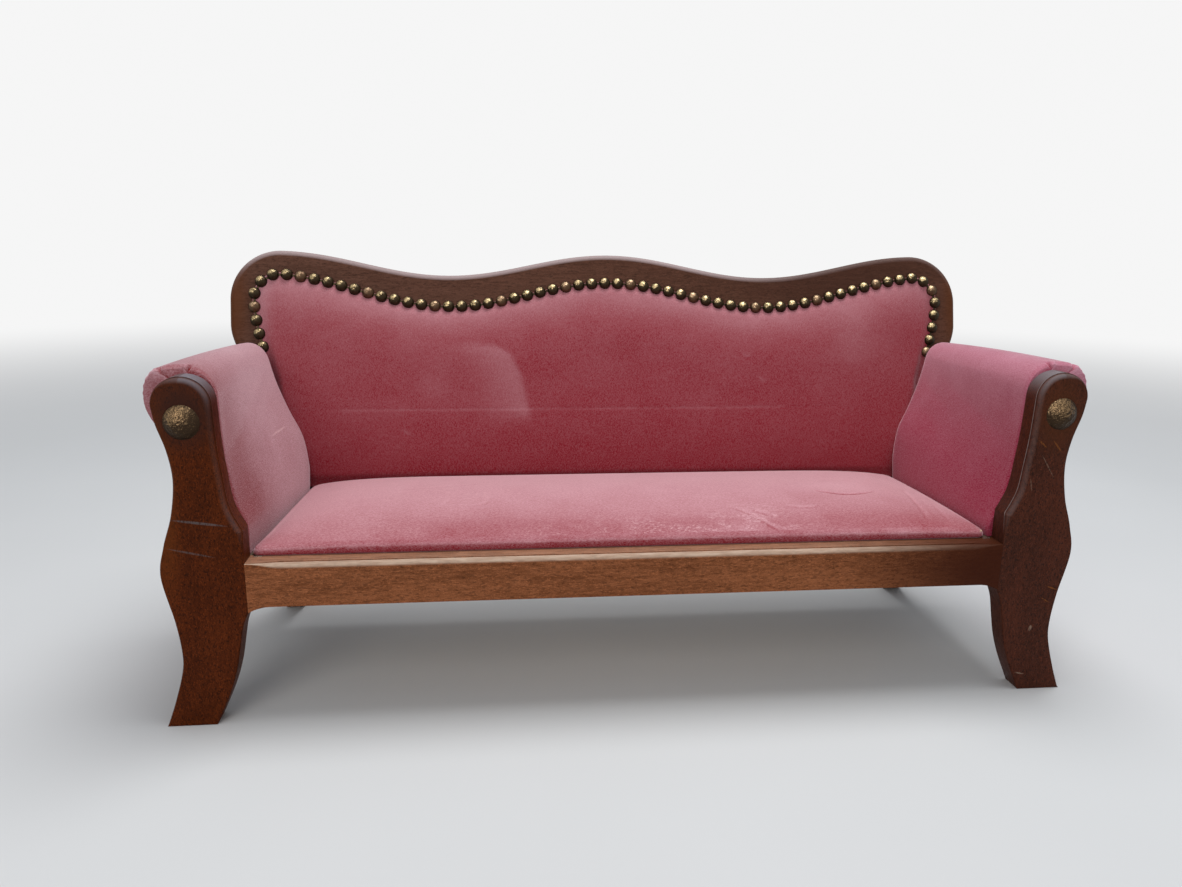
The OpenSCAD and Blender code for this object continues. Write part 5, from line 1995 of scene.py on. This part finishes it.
@dataclass
class NailRow:
    """The nail strip: stamped heads and links, with a real nail for every fifth head."""

    sizes: SofaSizes
    crest: Crest
    pitch: float = 12.5
    shift: float = 3.3
    head_d: float = 11.0
    head_rise: float = 4.0
    off: float = 1.4
    every: int = 5
    first: int = 3
    link_w: float = 2.4
    link_t: float = 0.5

    def places(self) -> Array:
        """The nails' places, from left to right.

        Returns:
            Rows of places across and up the back.
        """
        half = self.crest.strip_half()
        run = lengths(half)
        most = int(run[-1] // self.pitch) + 1
        at = np.arange(-most, most + 1) * self.pitch - self.shift
        at = at[np.abs(at) < run[-1]]
        x, v = (np.interp(np.abs(at), run, half[:, k]) for k in (0, 1))
        return np.column_stack([x * np.sign(at), v])

    def head(self) -> bpy.types.Mesh:
        """A domed head about Z, with a rolled rim, on a closed base.

        Returns:
            Its mesh, in metres.
        """
        radius, turns = self.head_d / 2, np.arange(28) * 2 * np.pi / 28
        profile = dome(radius, self.head_rise, 9) + [(radius - 0.1, -0.25), (radius - 0.7, -0.3)]
        solid = Solid().loft([np.column_stack([r * np.cos(turns), r * np.sin(turns), np.full(28, z)])
                              for r, z in profile])
        return solid.mesh("nail_head", np.vstack(solid.points) * MM)

    def tree(self) -> PlantTree:
        """Heads on points, turned and tilted a little and hammered: the real nails or the others.

        Returns:
            The tree.
        """
        tree = PlantTree("nail_row")
        tilt = tree.size("Tilt")
        index = tree.node("FunctionNodeIntegerMath", {
            0: tree.node("GeometryNodeInputIndex"), 1: tree.size("Every", "Int")}, operation="MODULO")
        same = tree.node("FunctionNodeCompare", {
            2: index, 3: tree.size("First", "Int")}, data_type="INT", operation="EQUAL")
        real = tree.size("Real", "Bool")
        wanted = tree.node("FunctionNodeBooleanMath", {0: same, 1: real}, operation="XNOR")
        align = tree.node("FunctionNodeAlignRotationToVector", {
            "Vector": tree.size("Outward", "Vector")}, axis="Z")
        back = tree.math("MULTIPLY", tilt, -1.0)
        chance = tree.node("FunctionNodeRandomValue", {
            0: tree.node("ShaderNodeCombineXYZ", {"X": back, "Y": back, "Z": 0.0}),
            1: tree.node("ShaderNodeCombineXYZ", {"X": tilt, "Y": tilt, "Z": math.tau}),
            "Seed": tree.size("Seed", "Int")}, data_type="FLOAT_VECTOR")
        spin = tree.node("FunctionNodeEulerToRotation", {0: chance})
        shape = tree.node("GeometryNodeObjectInfo", {"Object": tree.size("Head", "Object")})
        heads = tree.node("GeometryNodeInstanceOnPoints", {
            "Points": tree.source.outputs["Geometry"], "Selection": wanted,
            "Instance": shape.outputs["Geometry"],
            "Rotation": tree.node("FunctionNodeRotateRotation", {0: align, 1: spin}, rotation_space="LOCAL")})
        place = tree.node("GeometryNodeInputPosition")
        noise = tree.node("ShaderNodeTexNoise", {
            "Vector": place, "Scale": tree.size("Dent scale"), "Detail": 2.0})
        solid = tree.node("GeometryNodeRealizeInstances", {"Geometry": heads})
        tree.ends_with(tree.dented(solid, tree.math("SUBTRACT", noise, 0.5)))
        return tree

    def links(self, places: Array) -> Solid:
        """The strip's thin links between the heads.

        Args:
            places: The nails' places, across and up the back.

        Returns:
            All the links.
        """
        solid = Solid()
        depths = -self.off - self.link_t * np.array([0, 0, 1, 1])
        for a, b in zip(places, places[1:]):
            along = (b - a) / np.linalg.norm(b - a)
            across = np.array([-along[1], along[0]]) * self.link_w / 2
            rings = []
            for end, narrow in ((a, 1.0), (mix(a, b, 0.45), 0.8), (mix(a, b, 0.55), 0.8), (b, 1.0)):
                corners = end + np.outer([1, -1, -1, 1], across * narrow)
                rings.append(self.sizes.on_back(np.insert(corners, 1, depths, axis=1)))
            solid.loft(rings)
        return solid

    def build(self) -> None:
        """Builds and dresses the strip and its real nails."""
        s = self.sizes
        places, lean = self.places(), s.lean
        stands = s.on_back(np.insert(places, 1, -self.off - 0.3, axis=1))
        dots = bpy.data.meshes.new("nail_places")
        dots.from_pydata(s.in_frame(stands).tolist(), [], [])
        head, tree = linked("nail_head", self.head()), self.tree()
        stamped, real = STRIP_BRASS.material(), NAIL_BRASS.material()
        common = {
            # The heads carry a painted highlight on the side that faces up and forward
            "Head": head, "Outward": (0.0, -math.cos(lean), math.sin(lean)), "Every": self.every,
            "First": self.first, "Tilt": math.radians(2.5), "Dent": 0.0007, "Dent scale": 420.0, "Seed": 7,
            "Rubbed side": (-0.33, -0.58, 0.74)}
        for name, is_real, material, slot, node in (
                ("nail_strip_heads", False, stamped, "strip_brass", "nail_strip"),
                ("strip_nail_heads", True, real, "nail_brass", "strip_nails")):
            mesh = tree.grown(name, dots.copy(), {**common, "Real": is_real, "Material": material})
            settle(finished(name, mesh, material, 50.0), slot, node)
        bpy.data.objects.remove(head)
        settle(self.links(places).piece("nail_strip_links", s, stamped, 30.0), "strip_brass")


@dataclass
class BossNail:
    """A large nail with a hammered dome, on the head of a post."""

    sizes: SofaSizes
    side: Side
    diameter: float = 25.0
    rise: float = 6.0
    down: float = 31.5

    def tree(self) -> PlantTree:
        """Hammers a mesh with many small round dents.

        Returns:
            The tree.
        """
        tree = PlantTree("hammered")
        place = {"Vector": tree.node("GeometryNodeInputPosition"), "Scale": tree.size("Dent scale")}
        cells = tree.node("ShaderNodeTexVoronoi", place, feature="SMOOTH_F1")
        fine = tree.node("ShaderNodeTexNoise", {**place, "Detail": 3.0})
        level = tree.math("SUBTRACT", tree.math("ADD", cells, fine), 1.0)
        tree.ends_with(tree.dented(tree.source.outputs["Geometry"], level))
        return tree

    def build(self, brass: Finish) -> None:
        """Builds and dresses the nail.

        Args:
            brass: Its finish.
        """
        s = self.sizes
        radius, turns = self.diameter / 2, np.arange(96) * 2 * np.pi / 96
        x, z = self.side.value * s.arm_x, s.post_h - self.down
        profile = [(2.0, -12.0), (2.0, -0.1), (radius - 0.6, 0.05)] + dome(radius, self.rise, 34, 0.03)[::-1]
        solid = Solid().loft([
            np.column_stack([x + r * np.cos(turns), np.full(96, -out), z + r * np.sin(turns)])
            for r, out in profile])
        name = f"{self.side.name.lower()}_boss_nail"
        plain = solid.piece(f"{name}_plain", s, brass, 60.0)
        # The dome carries a painted highlight on the side that faces forward and up
        mesh = self.tree().grown(f"{name}_hammered", plain.data, {
            "Dent scale": 560.0, "Dent": 0.0006, "Rubbed side": (-0.22, -0.80, 0.56), "Material": brass})
        bpy.data.objects.remove(plain)
        settle(finished(f"{name}_hammered", mesh, brass, 60.0), "boss_brass", name)


@dataclass
class InnerFrame:
    """The carried-over pieces of the frame, which keep their own shapes."""

    stained: tuple[str, ...] = ("left_side_board", "right_side_board", "back_rail")
    bare: tuple[str, ...] = ("left_seat_cleat", "right_seat_cleat", "left_corner_block", "right_corner_block")
    dowels: tuple[str, ...] = ("rail_dowels", "arm_dowels")
    panels: tuple[str, ...] = ("seat_panel",)
    steel: tuple[str, ...] = (
        "back_board_screws", "rear_leg_screws", "seat_screws", "seat_staples", "arm_staples")

    def dress(self, frame: dict, wood: Finish) -> None:
        """Gives each carried-over node its finish.

        Args:
            wood: The finish of the stained boards.
        """
        # Painted shade: the cleats and corner blocks are dark, as they sit in shade beside the seat
        shade_darkened = BareWood("raw_beech", (0.055, 0.032, 0.017), (0.10, 0.06, 0.032), Grain.DEPTH)
        dowel = BareWood("dowel_beech", (0.45, 0.30, 0.17), (0.62, 0.45, 0.28))
        panel = BareWood("plywood", (0.45, 0.31, 0.17), (0.66, 0.50, 0.32))
        finishes = {self.stained: wood, self.bare: shade_darkened.material(), self.dowels: dowel.material(),
                    self.panels: panel.material(), self.steel: Steel().material()}
        for names, material in finishes.items():
            for name in names:
                node = frame["nodes"][name]
                node.data.materials.clear()
                node.data.materials.append(material)
                LOG.info("%s: %s", name, material.name)


@dataclass
class Studio:
    """Camera, floor and soft light."""

    sizes: SofaSizes
    place: tuple[float, float, float] = (-108.5, -626.9, 368.8)
    pitch: float = 0.2394
    yaw: float = 0.1098
    roll: float = 0.0135
    focal_px: float = 888.0
    picture_w: float = 1182.0
    sensor: float = 36.0
    floor_half: float = 6.0
    white: Colour = (0.92, 0.92, 0.92)

    def camera(self) -> None:
        """Stands the camera where the photograph was taken from."""
        turned = (Matrix.Rotation(self.roll, 3, "Z") @ Matrix(((1, 0, 0), (0, 0, -1), (0, 1, 0)))
                  @ Matrix.Rotation(self.pitch, 3, "X") @ Matrix.Rotation(self.yaw, 3, "Z"))
        look = (Matrix(((1, 0, 0), (0, -1, 0), (0, 0, -1))) @ turned).transposed().to_4x4()
        data = bpy.data.cameras.new("camera")
        data.sensor_width = self.sensor
        data.lens = self.focal_px / self.picture_w * self.sensor
        data.clip_start = 0.01
        camera = linked("camera", data)
        place = self.sizes.in_frame(np.array(self.place))
        camera.matrix_world = Matrix.Translation(Vector([float(c) for c in place])) @ look
        bpy.context.scene.camera = camera

    def floor(self) -> None:
        """Lays a plain pale floor, which fades to white far from the sofa."""
        mesh = bpy.data.meshes.new("floor")
        square = np.array([(-1, -1, 0), (1, -1, 0), (1, 1, 0), (-1, 1, 0)]) * self.floor_half
        mesh.from_pydata(square.tolist(), [], [(0, 1, 2, 3)])
        shade = Shade("pale_floor")
        grain = shade.noise(shade.place, 3.0, 2.0)
        shade.fixed(Base_Color=shade.blend(grain, (0.66, 0.66, 0.655), (0.70, 0.70, 0.695)), Roughness=0.9)
        shade.fixed(Specular_IOR_Level=0.2)
        far = shade.spread(shade.patch((0, 0, 0), (3.2, 3.2, 3.2)), 0.0, 0.72, 1.0, 0.0)
        white = shade.node("ShaderNodeEmission", {"Color": self.white})
        choose = shade.node("ShaderNodeMixShader", {
            0: shade.times(far, shade.background_rays()), 1: shade.shader, 2: white})
        shade.feed(shade.tree.nodes["Material Output"].inputs["Surface"], choose)
        finished("floor", mesh, shade.material)

    def lamp(self, name: str, place: tuple, size: float, power: float, colour: Colour) -> None:
        """Hangs one round soft box, aimed at the sofa.

        Args:
            name: Its name.
            place: Its place, in metres.
            size: Its width, in metres.
            power: Its power, in watts.
            colour: Its light's colour.
        """
        data = bpy.data.lights.new(name, "AREA")
        data.shape = "DISK"
        data.size = size
        data.energy = power
        data.color = colour
        aim = Vector((0.0, 0.0, 0.15)) - Vector(place)
        turn = aim.to_track_quat("-Z", "Y").to_matrix().to_4x4()
        linked(name, data).matrix_world = Matrix.Translation(place) @ turn

    def light(self) -> None:
        """Lights the sofa from above, with a weak fill from the front."""
        self.lamp("overhead", (0.25, 0.15, 1.9), 1.25, 26.0, (0.96, 0.98, 1.0))
        self.lamp("front_fill", (-0.9, -1.9, 1.3), 1.5, 15.0, (1.0, 0.97, 0.94))
        world = bpy.data.worlds.new("world")
        world.use_nodes = True
        sky = Wiring(world.node_tree)
        back = sky.tree.nodes["Background"]
        sky.feed(back.inputs["Color"], (0.80, 0.85, 0.92))
        sky.feed(back.inputs["Strength"], 0.42)
        white = sky.node("ShaderNodeBackground", {"Color": self.white})
        choose = sky.node("ShaderNodeMixShader", {0: sky.background_rays(), 1: back, 2: white})
        sky.feed(sky.tree.nodes["World Output"].inputs["Surface"], choose)
        bpy.context.scene.world = world

    def build(self) -> None:
        """Sets up everything that isn't the sofa."""
        self.camera()
        self.floor()
        self.light()
        bpy.context.scene.view_settings.view_transform = "Standard"


def corners(box: tuple) -> list[list[float]]:
    """A box's two corners as plain lists."""
    return [[float(c) for c in corner] for corner in box]


def main() -> None:
    """Loads the frame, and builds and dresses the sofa."""
    logging.basicConfig(level=logging.INFO, format="%(relativeCreated)6d ms  %(message)s")
    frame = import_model()
    sizes = SofaSizes.of_frame()
    Studio(sizes).build()
    crest = Crest(sizes)
    row = NailRow(sizes, crest)
    hidden = HIDDEN_WOOD.material(sizes)
    FrontPost(sizes, Side.LEFT, LEFT_POST_WOOD.material(sizes)).build()
    # The right post carries a stronger painted highlight up its inner arris
    FrontPost(sizes, Side.RIGHT, RIGHT_POST_WOOD.material(sizes), rub_and_highlight=0.85).build()
    FrontRail(sizes, RAIL_WOOD.material(sizes)).build()
    BackBoard(sizes, crest, BOARD_WOOD.material(sizes)).build()
    for side in Side:
        RearLeg(sizes, side, hidden).build()
    Seat(sizes).build(SEAT_VELVET.material(sizes))
    BackCushion(sizes, crest, row.places()).build(BACK_VELVET.material(sizes))
    for side, finish in ((Side.LEFT, LEFT_ARM_VELVET), (Side.RIGHT, RIGHT_ARM_VELVET)):
        arm, velvet = Arm(sizes, side), finish.material(sizes)
        arm.build(velvet)
        ArmFacing(arm).build(velvet)
    row.build()
    boss = BOSS_BRASS.material()
    for side in Side:
        BossNail(sizes, side).build(boss)
    InnerFrame().dress(frame, hidden)


if __name__ == "__main__":
    main()
